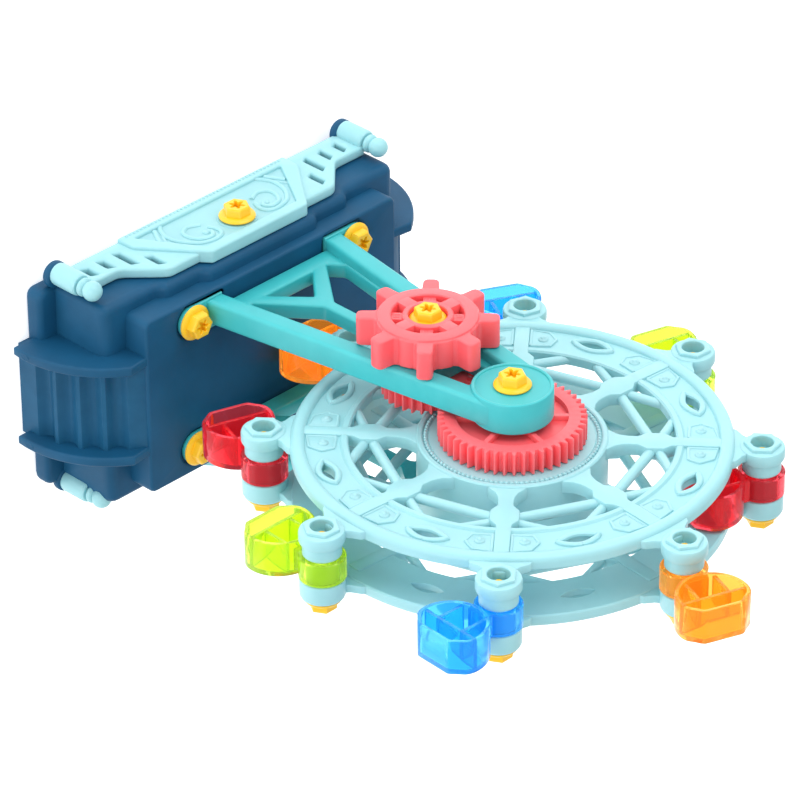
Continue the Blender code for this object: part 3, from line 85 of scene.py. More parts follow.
# Moulded plastic: cloudy colour, rubbed edges, uneven polish and a fine grain
def makeMouldedGroup():
    group = bpy.data.node_groups.new("mouldedPlastic", "ShaderNodeTree")
    settings = {"Colour": (0.5, 0.5, 0.5, 1.0), "Worn Colour": (0.7, 0.7, 0.7, 1.0), "Cloud Size": 60.0,
        "Cloud Strength": 0.1, "Grain Size": 1500.0, "Roughness": 0.35, "Roughness Spread": 0.08, "Edge Wear": 0.3}
    for label, value in settings.items():
        kind = "NodeSocketColor" if "Colour" in label else "NodeSocketFloat"
        group.interface.new_socket(name=label, in_out="INPUT", socket_type=kind).default_value = value
    for label, kind in (("Colour", "Color"), ("Roughness", "Float"), ("Height", "Float")):
        group.interface.new_socket(name=label, in_out="OUTPUT", socket_type="NodeSocket" + kind)
    given = group.nodes.new("NodeGroupInput").outputs
    place = addNode(group, "TexCoord", (-1100, 300)).outputs["Object"]

    def noise(spot, **inputs):
        return addNode(group, "TexNoise", spot, Vector=place, **inputs).outputs["Fac"]

    cloud = noise((-700, 300), Scale=given["Cloud Size"], Detail=3.0, Roughness=0.55)
    shade = addNode(group, "MapRange", (-500, 300), Value=cloud, From_Min=0.3, From_Max=0.7, To_Min=-1.0,
        To_Max=1.0)
    brightness = addMath(group, "MULTIPLY_ADD", (-350, 300), shade.outputs["Result"], given["Cloud Strength"], 1.0)
    tint = addNode(group, "HueSaturation", (-50, 300), Color=given["Colour"], Value=brightness)
    # Rubbed edges: the mesh's own sharpness, broken up by noise
    sharpness = addNode(group, "NewGeometry", (-900, -300)).outputs["Pointiness"]
    edge = addNode(group, "MapRange", (-700, -300), Value=sharpness, From_Min=0.52, From_Max=0.62)
    broken = addMath(group, "MULTIPLY", (-500, -300), edge.outputs["Result"],
        noise((-700, -500), Scale=220.0, Detail=4.0))
    wear = addMath(group, "MULTIPLY", (-350, -300), broken, given["Edge Wear"], clamp=True)
    worn = addNode(group, "Mix", (150, 300))
    worn.data_type = "RGBA"
    setInputs(group, worn, {"Factor": wear, "A": tint.outputs["Color"], "B": given["Worn Colour"]})
    patches = noise((-700, 0), Scale=140.0, Detail=5.0, Roughness=0.6)
    polish = addMath(group, "MULTIPLY_ADD", (-350, 0), patches, given["Roughness Spread"], given["Roughness"])
    # Height: a fine mould grain over long, faint sink waves
    grain = noise((-700, -750), Scale=given["Grain Size"], Detail=2.0)
    height = addMath(group, "MULTIPLY_ADD", (-350, -800), grain, 0.25, noise((-700, -950), Scale=35.0, Detail=1.0))
    end = group.nodes.new("NodeGroupOutput")
    setInputs(group, end, {"Colour": worn.outputs["Result"], "Roughness": polish, "Height": height})
    return group


mouldedGroup = makeMouldedGroup()


def makePlastic(name, colour, worn, roughness, settings, spread=0.08, cloud=0.03, grain=1500.0, bump=0.00008):
    material = bpy.data.materials.new(name)
    material.use_nodes = True
    tree = material.node_tree
    moulded = addNode(tree, "Group", (-500, 200))
    moulded.node_tree = mouldedGroup
    setInputs(tree, moulded, {"Colour": colour + (1.0,), "Worn Colour": worn + (1.0,), "Cloud Strength": cloud,
        "Grain Size": grain, "Roughness": roughness, "Roughness Spread": spread})
    relief = addNode(tree, "Bump", (-250, -200), Strength=0.6, Distance=bump, Height=moulded.outputs["Height"])
    setInputs(tree, tree.nodes["Principled BSDF"], {"Base Color": moulded.outputs["Colour"],
        "Roughness": moulded.outputs["Roughness"], "Normal": relief.outputs["Normal"], "IOR": 1.5, **settings})
    return material


finishes = {"navy": makePlastic("navyPlastic", (0.006, 0.078, 0.172), (0.03, 0.18, 0.32), 0.45,
    {"Specular IOR Level": 0.22}, cloud=0.10, grain=2600.0, bump=0.00014)}
# Name, colour, worn colour, roughness, clouds, and how much light goes under the surface
solidPlastics = (
    ("mint", (0.32, 0.64, 0.69), (0.52, 0.80, 0.84), 0.30, 0.03, 0.15),
    ("teal", (0.04, 0.47, 0.50), (0.20, 0.80, 0.82), 0.30, 0.04, 0.10),
    ("coral", (1.0, 0.12, 0.14), (1.0, 0.35, 0.36), 0.30, 0.03, 0.10),
    ("yellow", (0.98, 0.56, 0.014), (1.0, 0.78, 0.15), 0.26, 0.03, 0.10))
for name, colour, worn, roughness, cloud, depth in solidPlastics:
    finishes[name] = makePlastic(name + "Plastic", colour, worn, roughness,
        {"Subsurface Weight": depth, "Subsurface Radius": (1.0, 0.9, 0.8), "Subsurface Scale": 0.002}, cloud=cloud)
# Name, colour, worn colour, and a painted glow: emission that stands in for the light gathered in clear plastic
clearPlastics = (
    ("red", (0.88, 0.09, 0.13), (1.0, 0.25, 0.25), (0.45, 0.01, 0.02)),
    ("lime", (0.74, 0.88, 0.09), (1.0, 1.0, 0.45), (0.30, 0.50, 0.01)),
    ("blue", (0.11, 0.60, 1.0), (0.3, 0.6, 1.0), (0.01, 0.28, 0.8)),
    ("orange", (1.0, 0.52, 0.09), (1.0, 0.6, 0.25), (1.0, 0.33, 0.02)))
for name, colour, worn, paintedGlow in clearPlastics:
    # The emission is painted light: the clear cabins glow a little though no lamp is inside them
    finishes[name + "_clear"] = makePlastic("clear" + name.capitalize(), colour, worn, 0.06,
        {"Transmission Weight": 0.9, "IOR": 1.3, "Emission Color": paintedGlow + (1.0,), "Emission Strength": 0.16},
        spread=0.04, cloud=0.02, bump=0.00003)
print("materials made")


def polar(radius, degrees):
    angle = math.radians(degrees)
    return (radius * math.cos(angle), radius * math.sin(angle))


def shift(x, y, z):
    return Matrix.Translation((x, y, z))


def aboutY(degrees):
    return Matrix.Rotation(-math.radians(degrees), 4, "Y")


# Turns a plate so that its depth runs along Z
upright = Matrix(((1.0, 0.0, 0.0, 0.0), (0.0, 0.0, 1.0, 0.0), (0.0, 1.0, 0.0, 0.0), (0.0, 0.0, 0.0, 1.0)))
halfTurn = Matrix.Rotation(math.pi, 4, "Z")


def settle(shape):
    bmesh.ops.recalc_face_normals(shape, faces=shape.faces)
    return shape


def vertsOf(parts):
    return [part for part in parts if isinstance(part, bmesh.types.BMVert)]


# Rounds the edges that are sharper than an angle
def soften(shape, offset, degrees):
    sharp = [edge for edge in shape.edges if edge.calc_face_angle(0.0) > math.radians(degrees)]
    bmesh.ops.bevel(shape, geom=sharp, offset=offset, offset_type="OFFSET", segments=2, profile=0.5, affect="EDGES",
        material=-1, clamp_overlap=True)


# Extrudes faces, drops the old ones, and gives the new ones with their vertices
def pushFaces(shape, faces):
    grown = bmesh.ops.extrude_face_region(shape, geom=faces)["geom"]
    bmesh.ops.delete(shape, geom=faces, context="FACES_ONLY")
    return [part for part in grown if isinstance(part, bmesh.types.BMFace)], vertsOf(grown)


# A closed loop in XZ becomes a slab from near to far along Y
def slab(loop, near, far, bevel=0.0):
    shape = bmesh.new()
    face = shape.faces.new([shape.verts.new((u, near, v)) for u, v in loop])
    grown = bmesh.ops.extrude_face_region(shape, geom=[face])["geom"]
    bmesh.ops.translate(shape, verts=vertsOf(grown), vec=(0.0, far - near, 0.0))
    settle(shape)
    if bevel:
        soften(shape, bevel, 30)
    return shape


# A profile of radius and Y turned about the Y axis
def turned(profile, steps, closed=False):
    shape = bmesh.new()
    verts = [shape.verts.new((radius, y, 0.0)) for radius, y in profile]
    edges = [shape.edges.new(pair) for pair in zip(verts, verts[1:])]
    if closed:
        edges.append(shape.edges.new((verts[-1], verts[0])))
    bmesh.ops.spin(shape, geom=verts + edges, cent=(0, 0, 0), axis=(0, 1, 0), angle=math.tau, steps=steps,
        use_merge=True, use_duplicate=False)
    bmesh.ops.remove_doubles(shape, verts=shape.verts, dist=1e-6)
    return settle(shape)


# A round bar between two points
def bar(start, end, radius, steps):
    shape = bmesh.new()
    bmesh.ops.create_cone(shape, cap_ends=True, segments=steps, radius1=radius, radius2=radius,
        depth=(end - start).length)
    turn = Vector((0, 0, 1)).rotation_difference(end - start).to_matrix().to_4x4()
    bmesh.ops.transform(shape, matrix=Matrix.Translation((start + end) / 2) @ turn, verts=shape.verts)
    return shape


# A bead, squashed along Y
def bead(radius, squash=1.0, subdivisions=2):
    shape = bmesh.new()
    bmesh.ops.create_icosphere(shape, subdivisions=subdivisions, radius=radius)
    bmesh.ops.scale(shape, vec=(1.0, squash, 1.0), verts=shape.verts)
    return shape


# A round rod along a path: a ring that is extruded from point to point
def rod(points, radius, steps=8, flatten=1.0, lift=Vector((0, 1, 0))):
    shape = bmesh.new()
    ring = bmesh.ops.create_circle(shape, cap_ends=False, segments=steps, radius=1.0)["verts"]
    for number, point in enumerate(points):
        ahead = points[min(number + 1, len(points) - 1)] - points[max(number - 1, 0)]
        across = lift.cross(ahead).normalized()
        rise = ahead.cross(across).normalized()
        if number:
            edges = [edge for n, vert in enumerate(ring) for edge in vert.link_edges
                if edge.other_vert(vert) is ring[n - 1]]
            fresh = set(vertsOf(bmesh.ops.extrude_edge_only(shape, edges=edges)["geom"]))
            ring = [[other for other in (edge.other_vert(vert) for edge in vert.link_edges) if other in fresh][0]
                for vert in ring]
        for index, vert in enumerate(ring):
            u, v = polar(radius, 360 * index / steps)
            vert.co = point + across * u + rise * flatten * v
        if number == 0:
            shape.faces.new(ring)
    shape.faces.new(ring)
    return settle(shape)


# A curve through all the points
def smoothPath(points, steps=6):
    ends = [points[0]] + list(points) + [points[-1]]
    path = []
    for number in range(1, len(ends) - 2):
        a, b, c, d = [Vector(point) for point in ends[number - 1:number + 3]]
        for step in range(steps):
            t = step / steps
            curve = 2 * b + (c - a) * t + (2 * a - 5 * b + 4 * c - d) * t ** 2 + (3 * b - a - 3 * c + d) * t ** 3
            path.append(0.5 * curve)
    return path + [Vector(points[-1])]


def circleLoop(radius, steps=48, x=0.0, z=0.0):
    spots = [polar(radius, 360 * step / steps) for step in range(steps)]
    return [(x + u, z + v, 0.0) for u, v in spots]


def boxLoop(left, right, low, high):
    return [(left, low), (right, low), (right, high), (left, high)]


def mirrored(loop):
    return [(-corner[0],) + tuple(corner[1:]) for corner in reversed(loop)]


# A half outline and its mirror image as one loop
def both(half):
    return half + mirrored(half)


# A flat loop moved inwards by a distance (outwards when negative), each corner rounded by its third value
def shrunk(loop, distance, corner=0.0, steps=4):
    spots = [Vector(point[:2]) for point in loop]
    area = sum(spots[n - 1].x * spots[n].y - spots[n].x * spots[n - 1].y for n in range(len(spots)))
    hand = 1.0 if area > 0 else -1.0
    moved = []
    for number, here in enumerate(spots):
        before = (here - spots[number - 1]).normalized()
        after = (spots[(number + 1) % len(spots)] - here).normalized()
        normals = [Vector((-way.y, way.x)) * hand for way in (before, after)]
        middle = (normals[0] + normals[1]).normalized()
        moved.append(here + middle * distance / max(0.35, middle.dot(normals[0])))
    result = []
    for number, here in enumerate(moved):
        radius = loop[number][2] if len(loop[number]) > 2 else corner
        if not radius:
            result.append(tuple(here))
            continue
        before = (spots[number] - spots[number - 1]).normalized()
        after = (spots[(number + 1) % len(spots)] - spots[number]).normalized()
        bulge = hand * (before.x * after.y - before.y * after.x)
        radius = max(0.0002, radius - (distance if bulge > 0 else -distance))
        toBefore, toAfter = moved[number - 1] - here, moved[(number + 1) % len(moved)] - here
        start = here + toBefore.normalized() * min(radius, toBefore.length * 0.48)
        end = here + toAfter.normalized() * min(radius, toAfter.length * 0.48)
        for step in range(steps + 1):
            t = step / steps
            result.append(tuple(start * (1 - t) ** 2 + here * 2 * t * (1 - t) + end * t ** 2))
    return result


# A plate along Y with round edges and holes; its loops lie in XZ
def plate(outline, near, far, edge=0.0005, corner=0.0, holes=(), turns=3):
    shape = bmesh.new()
    levels = [(edge * (1 - math.sin(math.pi / 2 * n / turns)),
        near + edge * (1 - math.cos(math.pi / 2 * n / turns))) for n in range(turns + 1)] if edge else [(0.0, near)]
    levels += [(inset, far - (y - near)) for inset, y in reversed(levels)]
    caps = [[], []]
    for number, loop in enumerate([outline] + list(holes)):
        previous = None
        for level, (inset, y) in enumerate(levels):
            ring = [shape.verts.new((u, y, v)) for u, v in shrunk(loop, -inset if number else inset, corner)]
            edges = [shape.edges.new((ring[n - 1], ring[n])) for n in range(len(ring))]
            if previous:
                for n in range(len(ring)):
                    shape.faces.new((previous[n - 1], previous[n], ring[n], ring[n - 1]))
            if level in (0, len(levels) - 1):
                caps[0 if level == 0 else 1] += edges
            previous = ring
    for cap in caps:
        bmesh.ops.triangle_fill(shape, use_beauty=True, edges=cap)
    return settle(shape)


def meshOf(shape, name):
    mesh = bpy.data.meshes.new(name)
    shape.to_mesh(mesh)
    return mesh


def addObject(name, data):
    item = bpy.data.objects.new(name, data)
    bpy.context.scene.collection.objects.link(item)
    return item


# Adds one shape to another, moved by a matrix
def stamp(target, source, matrix=Matrix.Identity(4), keep=False):
    carrier = meshOf(source, "carrier")
    carrier.transform(matrix)
    target.from_mesh(carrier)
    bpy.data.meshes.remove(carrier)
    if not keep:
        source.free()


# Makes the finished piece: smooth, with sharp edges kept, riding on a body and standing for a CAD node
def makePiece(shape, name, finish, body, node, sharp=35.0):
    mesh = meshOf(settle(shape), name)
    shape.free()
    mesh.shade_smooth()
    mesh.set_sharp_from_angle(angle=math.radians(sharp))
    mesh.materials.append(finishes[finish])
    piece = addObject(name, mesh)
    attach(piece, body)
    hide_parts(node)


cameraPlan = {"place": (1.10143, -0.98197, 1.20275), "right": (-0.70209, 0.00714, 0.71205),
    "up": (-0.38385, -0.84603, -0.37000), "back": (0.59977, -0.53309, 0.59673), "lens": 234.226}
cameraData = bpy.data.cameras.new("camera")
cameraData.lens = cameraPlan["lens"]
cameraData.sensor_width = 36.0
cameraData.clip_start = 0.1
cameraData.clip_end = 20.0
camera = addObject("camera", cameraData)
turn = Matrix((cameraPlan["right"], cameraPlan["up"], cameraPlan["back"])).transposed().to_4x4()
camera.matrix_world = Matrix.Translation(cameraPlan["place"]) @ turn
bpy.context.scene.camera = camera


def softLight(name, place, aimHeight, width, height, power):
    data = bpy.data.lights.new(name, "AREA")
    data.shape = "RECTANGLE"
    data.size = width
    data.size_y = height
    data.energy = power
    light = addObject(name, data)
    light.location = place
    light.rotation_mode = "QUATERNION"
    light.rotation_quaternion = (Vector((0.0, 0.0, aimHeight)) - Vector(place)).to_track_quat("-Z", "Y")


softLight("keyLight", (-0.25, -1.35, 0.75), 0.12, 1.3, 1.0, 9.5)
softLight("sideLight", (1.4, -0.3, 0.55), 0.12, 1.0, 1.0, 6.0)
softLight("topLight", (0.1, 0.3, 1.6), 0.1, 1.6, 1.6, 3.0)

bpy.context.scene.view_settings.view_transform = "Standard"

world = bpy.data.worlds.new("studio")
bpy.context.scene.world = world
world.use_nodes = True
setInputs(world.node_tree, world.node_tree.nodes["Background"], {"Color": white, "Strength": 0.76})

floorShape = bmesh.new()
bmesh.ops.create_grid(floorShape, x_segments=1, y_segments=1, size=6.0)
floorMesh = meshOf(floorShape, "floor")
floorShape.free()
floorMaterial = bpy.data.materials.new("paleFloor")
floorMaterial.use_nodes = True
floorTree = floorMaterial.node_tree
setInputs(floorTree, floorTree.nodes["Principled BSDF"], {"Base Color": (0.93, 0.93, 0.93, 1.0), "Roughness": 0.9,
    "Emission Color": white, "Emission Strength": 0.6})
floorMesh.materials.append(floorMaterial)
addObject("floor", floorMesh)
print("camera, lights and floor made")


# Every CAD node gets its finish; the axle and the cover also keep their shape
nodeSlots = {part["node"]: part["material_slot"] for part in frame["record"]["subparts"]}
for node, holder in frame["nodes"].items():
    for slot in holder.material_slots:
        slot.material = finishes[nodeSlots[node]]

# The base: a stepped block on a skirt, a plinth with beds for the legs' feet, fluted bays between flanges
basePlan = {"blockHalf": 0.0724, "blockDeep": 0.0400, "rearMore": 0.0018, "tops": (0.0330, 0.0362, 0.0393),
    "stepAt": (0.0445, 0.0262), "slope": 0.0024, "skirtHalf": 0.0800, "skirt": 0.0080, "plinthHalf": 0.0622,
    "plinthDeep": 0.0347, "height": 0.0435, "bed": 0.0014, "tabX": 0.0400, "tabY": 0.0263, "tab": 0.0062,
    "tabInner": 0.0257, "bayX": 0.0469, "bayZ": 0.0084, "bay": 0.0424, "flange": 0.0039, "flangeY": 0.0205,
    "crest": 0.0051, "flute": 0.0030, "pitch": 14.2, "bayInner": 0.0560, "stepSoft": 0.0016,
    "cover": (0.0598, 0.0335), "collar": 0.0050, "collarX": 0.0709, "collarY": (-0.0438, 0.0414),
    "collarLow": 0.0052, "collarTop": 0.0086}


# Outline of a leg's foot tab, round at its outer end
def tabLoop(sideX, sideY, grow):
    plan = basePlan
    radius, inner, middle = plan["tab"] + grow, plan["tabInner"] - grow, plan["tabY"] * sideY
    ends = [polar(radius, angle) for angle in range(-90, 91, 15)]
    loop = [(plan["tabX"] + u, middle + v, 0.0) for u, v in ends] + [(inner, middle + radius),
        (inner, middle - radius)]
    return loop if sideX > 0 else mirrored(loop)


def makeBase():
    plan = basePlan
    base = bmesh.new()
    low, middle, high = plan["tops"]
    outer, inner = plan["stepAt"]
    deep, more, soft = plan["blockDeep"], plan["rearMore"], plan["stepSoft"]
    half = [(plan["blockHalf"], plan["skirt"] / 2, 0.0), (plan["blockHalf"], low, 0.0045),
        (outer + plan["slope"], low, soft), (outer, middle, soft), (inner + plan["slope"], middle, soft),
        (inner, high, soft)]
    stamp(base, plate(both(half), -deep, deep + more, edge=0.0030, turns=5))
    coverX, coverY = plan["cover"]
    skirt = boxLoop(-plan["skirtHalf"], plan["skirtHalf"], 0.0003 - deep, deep - 0.0003 + more)
    stamp(base, plate(skirt, 0.0, plan["skirt"], edge=0.0024, corner=0.0040,
        holes=[boxLoop(-coverX, coverX, -coverY, coverY)], turns=4), upright)
    plinth = boxLoop(-plan["plinthHalf"], plan["plinthHalf"], -plan["plinthDeep"], plan["plinthDeep"] + more)
    beds = [tabLoop(x, y, 0.0006) for x in (1, -1) for y in (1, -1)]
    stamp(base, plate(plinth, plan["skirt"], plan["height"], edge=0.0012, corner=0.0030, holes=beds), upright)
    stamp(base, plate(boxLoop(0.0048 - coverX, coverX - 0.0048, -coverY, coverY), plan["skirt"],
        plan["height"] - plan["bed"], edge=0.0002), upright)
    # Bays: five crests with round flutes between them, the flanges standing over their ends
    crest = plan["bay"] - plan["crest"]
    x, z, inside = plan["bayX"], plan["bayZ"], plan["bayInner"]
    wall = [(x + crest, 0.0004), (x + crest, z)]
    for flute in range(4):
        for step in range(1, 15):
            wave = math.sin(math.pi * min(1.0, max(0.0, (step / 14 - 0.1) / 0.8)))
            u, v = polar(crest - plan["flute"] * wave ** 0.8, plan["pitch"] * (flute + step / 14))
            wall.append((x + u, z + v))
    top = plan["height"] - 0.0004
    wall += [(x + math.sqrt(crest ** 2 - (top - z) ** 2), top), (inside, top), (inside, 0.0004)]
    rim = [(x + u, z + v) for u, v in [polar(plan["bay"], 5.3 * step - 6.6) for step in range(13)]]
    rim += [(plan["plinthHalf"] + 0.0004, top, 0.0), (inside, top, 0.0), (inside, rim[0][1], 0.0)]
    for side in (1, -1):
        sideWall, sideRim = (wall, rim) if side > 0 else (mirrored(wall), mirrored(rim))
        stamp(base, plate(sideWall, 0.0020 - plan["flangeY"], plan["flangeY"] - 0.0020, edge=0.0))
        for face in (-1, 1):
            near = min(face * plan["flangeY"], face * (plan["flangeY"] - plan["flange"]))
            stamp(base, plate(sideRim, near, near + plan["flange"], edge=0.0009))
            # Collar that holds the panel's roll, and the small mark on the flange's edge
            collar = circleLoop(plan["collar"], 40, side * plan["collarX"], plan["collarY"][face > 0])
            stamp(base, plate(collar, plan["collarLow"], plan["collarTop"], edge=0.0010), upright)
            u, v = polar(plan["bay"] - 0.0002, 1.5)
            mark = [Vector((side * (x + u), face * (plan["flangeY"] - plan["flange"] / 2) + polar(0.0011, angle)[0],
                z + v + polar(0.0017, angle)[1])) for angle in range(0, 360, 24)]
            stamp(base, rod(mark + mark[:1], 0.0003, steps=6, lift=Vector((1, 0, 0))))
    makePiece(base, "baseShell", "navy", "stand", "base_shell", sharp=33.0)


makeBase()
print("base made")


# Mint panels: slotted wings with a roll at each end, a raised plaque with scrolls and a row of beads
panelPlan = {"seat": 0.0403, "wing": 0.0040, "plaque": 0.0052, "bottom": 0.0068, "wingHalf": 0.0690,
    "lowTop": 0.0212, "highTop": 0.0338, "stepOut": 0.0538, "stepIn": 0.0409, "plaqueHalf": 0.0412,
    "shoulder": 0.0148, "topHalf": 0.0235, "top": 0.0375, "sink": 0.0014, "slot": 0.0024, "slant": 0.0012,
    "screw": 0.0255, "rollX": 0.0709, "roll": 0.0042, "ball": 0.0036, "rollLow": 0.0080, "rollTop": 0.0298,
    "scroll": 0.00100, "beadPitch": 0.0018, "slots": ((0.0620, 0.0115, 0.0184), (0.0545, 0.0115, 0.0188),
    (0.0468, 0.0115, 0.0228), (0.0400, 0.0212, 0.0296))}
outerScroll = ((23.4, 9.9), (25.6, 12.8), (27.0, 17.1), (26.0, 23.1), (21.8, 28.6), (16.0, 30.6), (11.6, 29.6),
    (10.4, 26.6), (11.6, 22.6))
innerScroll = ((12.8, 19.6), (17.4, 17.6), (21.0, 19.6), (21.4, 23.6), (19.0, 27.2), (15.0, 28.2), (12.9, 25.8),
    (14.6, 24.4))


def makePanel(rollOut):
    plan = panelPlan
    panel = bmesh.new()
    seat, wingY, plaqueY = -plan["seat"], -plan["seat"] - plan["wing"], -plan["seat"] - plan["plaque"]
    half = [(plan["wingHalf"], plan["bottom"], 0.0010), (plan["wingHalf"], plan["lowTop"], 0.0010),
        (plan["stepOut"], plan["lowTop"], 0.0020), (plan["stepIn"], plan["highTop"], 0.0026)]
    slots = []
    for centre, low, high in plan["slots"]:
        left, right = centre - plan["slot"] / 2, centre + plan["slot"] / 2
        slot = [(left, low + plan["slant"]), (right, low), (right, high - plan["slant"]), (left, high)]
        slots += [slot, mirrored(slot)]
    stamp(panel, plate(both(half), wingY, seat, edge=0.0010, holes=slots, corner=0.0003))
    half = [(plan["plaqueHalf"], plan["bottom"] - 0.0003), (plan["plaqueHalf"], plan["shoulder"]),
        (plan["topHalf"], plan["top"])]
    field = [(0.0362, 0.0106), (0.0224, 0.0330)]
    stamp(panel, plate(both(half), plaqueY, seat, edge=0.0008, corner=0.0010, holes=[both(field)], turns=4))
    field = [(0.0372, 0.0098), (0.0232, 0.0338)]
    floorY = plaqueY + plan["sink"]
    stamp(panel, plate(both(field), floorY, seat, edge=0.0))
    for side in (1, -1):
        for scroll in (outerScroll, innerScroll):
            path = smoothPath([(side * u / 1000, floorY, v / 1000) for u, v in scroll])
            stamp(panel, rod(path, plan["scroll"], steps=10))
        stamp(panel, bead(0.0015, 0.7), shift(side * 0.0149, floorY, 0.0248))
        stamp(panel, rod([Vector((side * u / 1000, floorY, v / 1000)) for u, v in ((27.2, 11.2), (31.2, 18.2))],
            plan["scroll"], steps=10))
        stamp(panel, rod([Vector((side * u / 1000, floorY, v / 1000)) for u, v in ((26.6, 14.5), (30.2, 20.6))],
            plan["scroll"] * 0.7, steps=10))
        # The roll: a barrel, then a small and a big ball
        barrel, ball, top = plan["roll"], plan["ball"], plan["rollTop"]
        roll = [(0.0, plan["rollLow"]), (barrel * 0.8, plan["rollLow"]), (barrel * 0.95, plan["rollLow"] + 0.0005),
            (barrel, plan["rollLow"] + 0.0014), (barrel, 0.0190), (barrel * 0.96, 0.0199), (barrel * 0.86, 0.0204)]
        for radius, centre, tall, first, final in ((ball * 0.98, 0.0221, 0.0020, -58, 52),
                (ball * 1.02, top - ball, ball, -46, 90)):
            for step in range(9):
                angle = math.radians(first + (final - first) * step / 8)
                roll.append((radius * math.cos(angle), centre + tall * math.sin(angle)))
        roll[-1] = (0.0, top)
        stamp(panel, turned(roll, 32), shift(side * plan["rollX"], seat - rollOut, 0.0) @ upright)
    for number in range(-21, 22):
        stamp(panel, bead(0.00062, 0.9), shift(number * plan["beadPitch"], plaqueY + 0.0001,
            plan["bottom"] + 0.0011))
    stamp(panel, turned([(0.0, floorY - 0.0006), (0.0071, floorY - 0.0006), (0.0075, floorY)], 40),
        shift(0.0, 0.0, plan["screw"]))
    return panel


for node, name, turn, rollOut in (("panel_front", "panelFront", Matrix.Identity(4), 0.0045),
        ("panel_rear", "panelRear", halfTurn, 0.0014)):
    panel = bmesh.new()
    stamp(panel, makePanel(rollOut), turn)
    makePiece(panel, name, "mint", "stand", node)
print("panels made")


# Teal legs: two rails on a web with braces, a boss at the axle, a bearing for the crank and two foot tabs
legPlan = {"front": 0.0333, "railSink": 0.0010, "rail": 0.0108, "web": 0.0052, "webBack": 0.0221, "boss": 0.0144,
    "bossBack": 0.0213, "width": 0.0078, "foot": 0.0438, "footHalf": 0.0335, "neckHalf": 0.0146, "band": 0.0078,
    "brace": 0.0048, "node": 0.0487, "armFoot": 0.0188, "arm": 0.0052, "bearing": 0.0090}


def makeLeg():
    plan = legPlan
    leg = bmesh.new()
    front, back, foot, top = -plan["front"], -plan["front"] + plan["rail"], plan["foot"], wheelHeight

    def railInner(height):
        share = (height - foot) / (top - foot)
        return plan["footHalf"] + (plan["neckHalf"] - plan["footHalf"]) * share - plan["width"]

    rail = [(plan["footHalf"], foot, 0.0008), (0.0142, top + 0.0023, 0.0), (0.0066, top + 0.0012, 0.0),
        (plan["footHalf"] - plan["width"], foot, 0.0008)]
    for loop in (rail, mirrored(rail)):
        stamp(leg, plate(loop, front + plan["railSink"], back, edge=0.0016, turns=5))
    half, bearingTop = plan["brace"] / 2, crankHeight + plan["bearing"]
    webLow, node = foot + plan["band"], crankHeight - plan["node"]
    arm = math.hypot(plan["armFoot"], node - webLow)
    armHalf, armRise = plan["arm"] * arm / (node - webLow), plan["arm"] * arm / plan["armFoot"]
    low = webLow + plan["arm"]
    sideHole = [(plan["armFoot"], webLow), (railInner(low) - 0.0006, low),
        (railInner(bearingTop) - 0.0010, bearingTop - 2 * half), (plan["bearing"], crankHeight - half),
        (half, crankHeight - plan["bearing"] - half), (half, node)]
    footHole = [(armHalf - plan["armFoot"], webLow), (plan["armFoot"] - armHalf, webLow), (0.0, node - armRise)]
    neckLow, neckTop = bearingTop + half / 2, top - plan["boss"] - half
    neck = railInner(neckTop) - half
    neckHole = [(-neck, neckLow), (neck, neckLow), (neck, neckTop), (-neck, neckTop)]
    edge = [(plan["footHalf"] - 0.0040, foot + 0.0004), (railInner(top) + 0.0030, top - 0.0060)]
    stamp(leg, plate(both(edge), front + plan["web"], -plan["webBack"], edge=0.0009, corner=0.0012,
        holes=[sideHole, mirrored(sideHole), footHole, neckHole], turns=3))
    r, inner = plan["boss"], -plan["bossBack"]
    stamp(leg, turned([(0.0, front + 0.0006), (r - 0.0015, front + 0.0006), (r - 0.0013, front + 0.0002),
        (r - 0.0009, front), (r - 0.0006, front), (r - 0.0002, front + 0.0002), (r, front + 0.0007),
        (r, inner - 0.0006), (r - 0.0006, inner), (0.0, inner)], 72), Matrix.Translation(wheelCentre))
    r = plan["bearing"]
    stamp(leg, turned([(0.0, front + 0.0006), (r - 0.0006, front + 0.0006), (r, front + 0.0012), (r, inner),
        (0.0, inner)], 48), shift(0.0, 0.0, crankHeight))
    for side in (1, -1):
        stamp(leg, plate(tabLoop(side, -1, 0.0), 0.0423, 0.0443, edge=0.0005), upright)
    return leg


for node, name, turn in (("leg_front", "legFront", Matrix.Identity(4)), ("leg_rear", "legRear", halfTurn)):
    leg = bmesh.new()
    stamp(leg, makeLeg(), turn)
    makePiece(leg, name, "teal", "stand", node)
print("legs made")


# Gears and the crank's hand wheel, all about the Y axis
gearPlan = {"module": 0.00104, "front": 0.0209, "back": 0.0125, "rim": 0.0042, "recess": 0.0022, "hub": 0.0080,
    "ribs": 6, "rib": 0.0018, "wheelTeeth": 48, "pinionTeeth": 30, "addendum": 0.95, "dedendum": 1.25,
    "slack": 0.0003, "pressure": 20.0}
crankPlan = {"front": 0.0446, "rear": 0.0326, "ring": 0.0184, "inner": 0.0129, "hub": 0.0090, "recess": 0.0069,
    "recessDeep": 0.0028, "reach": 0.0250, "handle": 0.0028, "raise": 0.0008, "spoke": 0.0023, "sink": 0.0012,
    "web": 0.0026, "rest": 41.4}


# Toothed loop with involute flanks, a tooth centred on the given angle
def gearLoop(teeth, first):
    plan = gearPlan
    pitch = plan["module"] * teeth / 2
    root, tip = pitch - plan["dedendum"] * plan["module"], pitch + plan["addendum"] * plan["module"]
    ground = pitch * math.cos(math.radians(plan["pressure"]))

    def involute(radius):
        angle = math.acos(min(1.0, ground / radius))
        return math.tan(angle) - angle

    halfPitch = math.pi / (2 * teeth) - plan["slack"] / (2 * pitch)
    loop = []
    for tooth in range(teeth):
        centre = first + 360 * tooth / teeth
        flank = [(radius, math.degrees(halfPitch + involute(pitch) - involute(max(radius, ground))))
            for radius in (root, (root + tip) / 2, tip)]
        loop += [polar(radius, centre - half) for radius, half in flank]
        loop += [polar(radius, centre + half) for radius, half in reversed(flank)]
    return loop


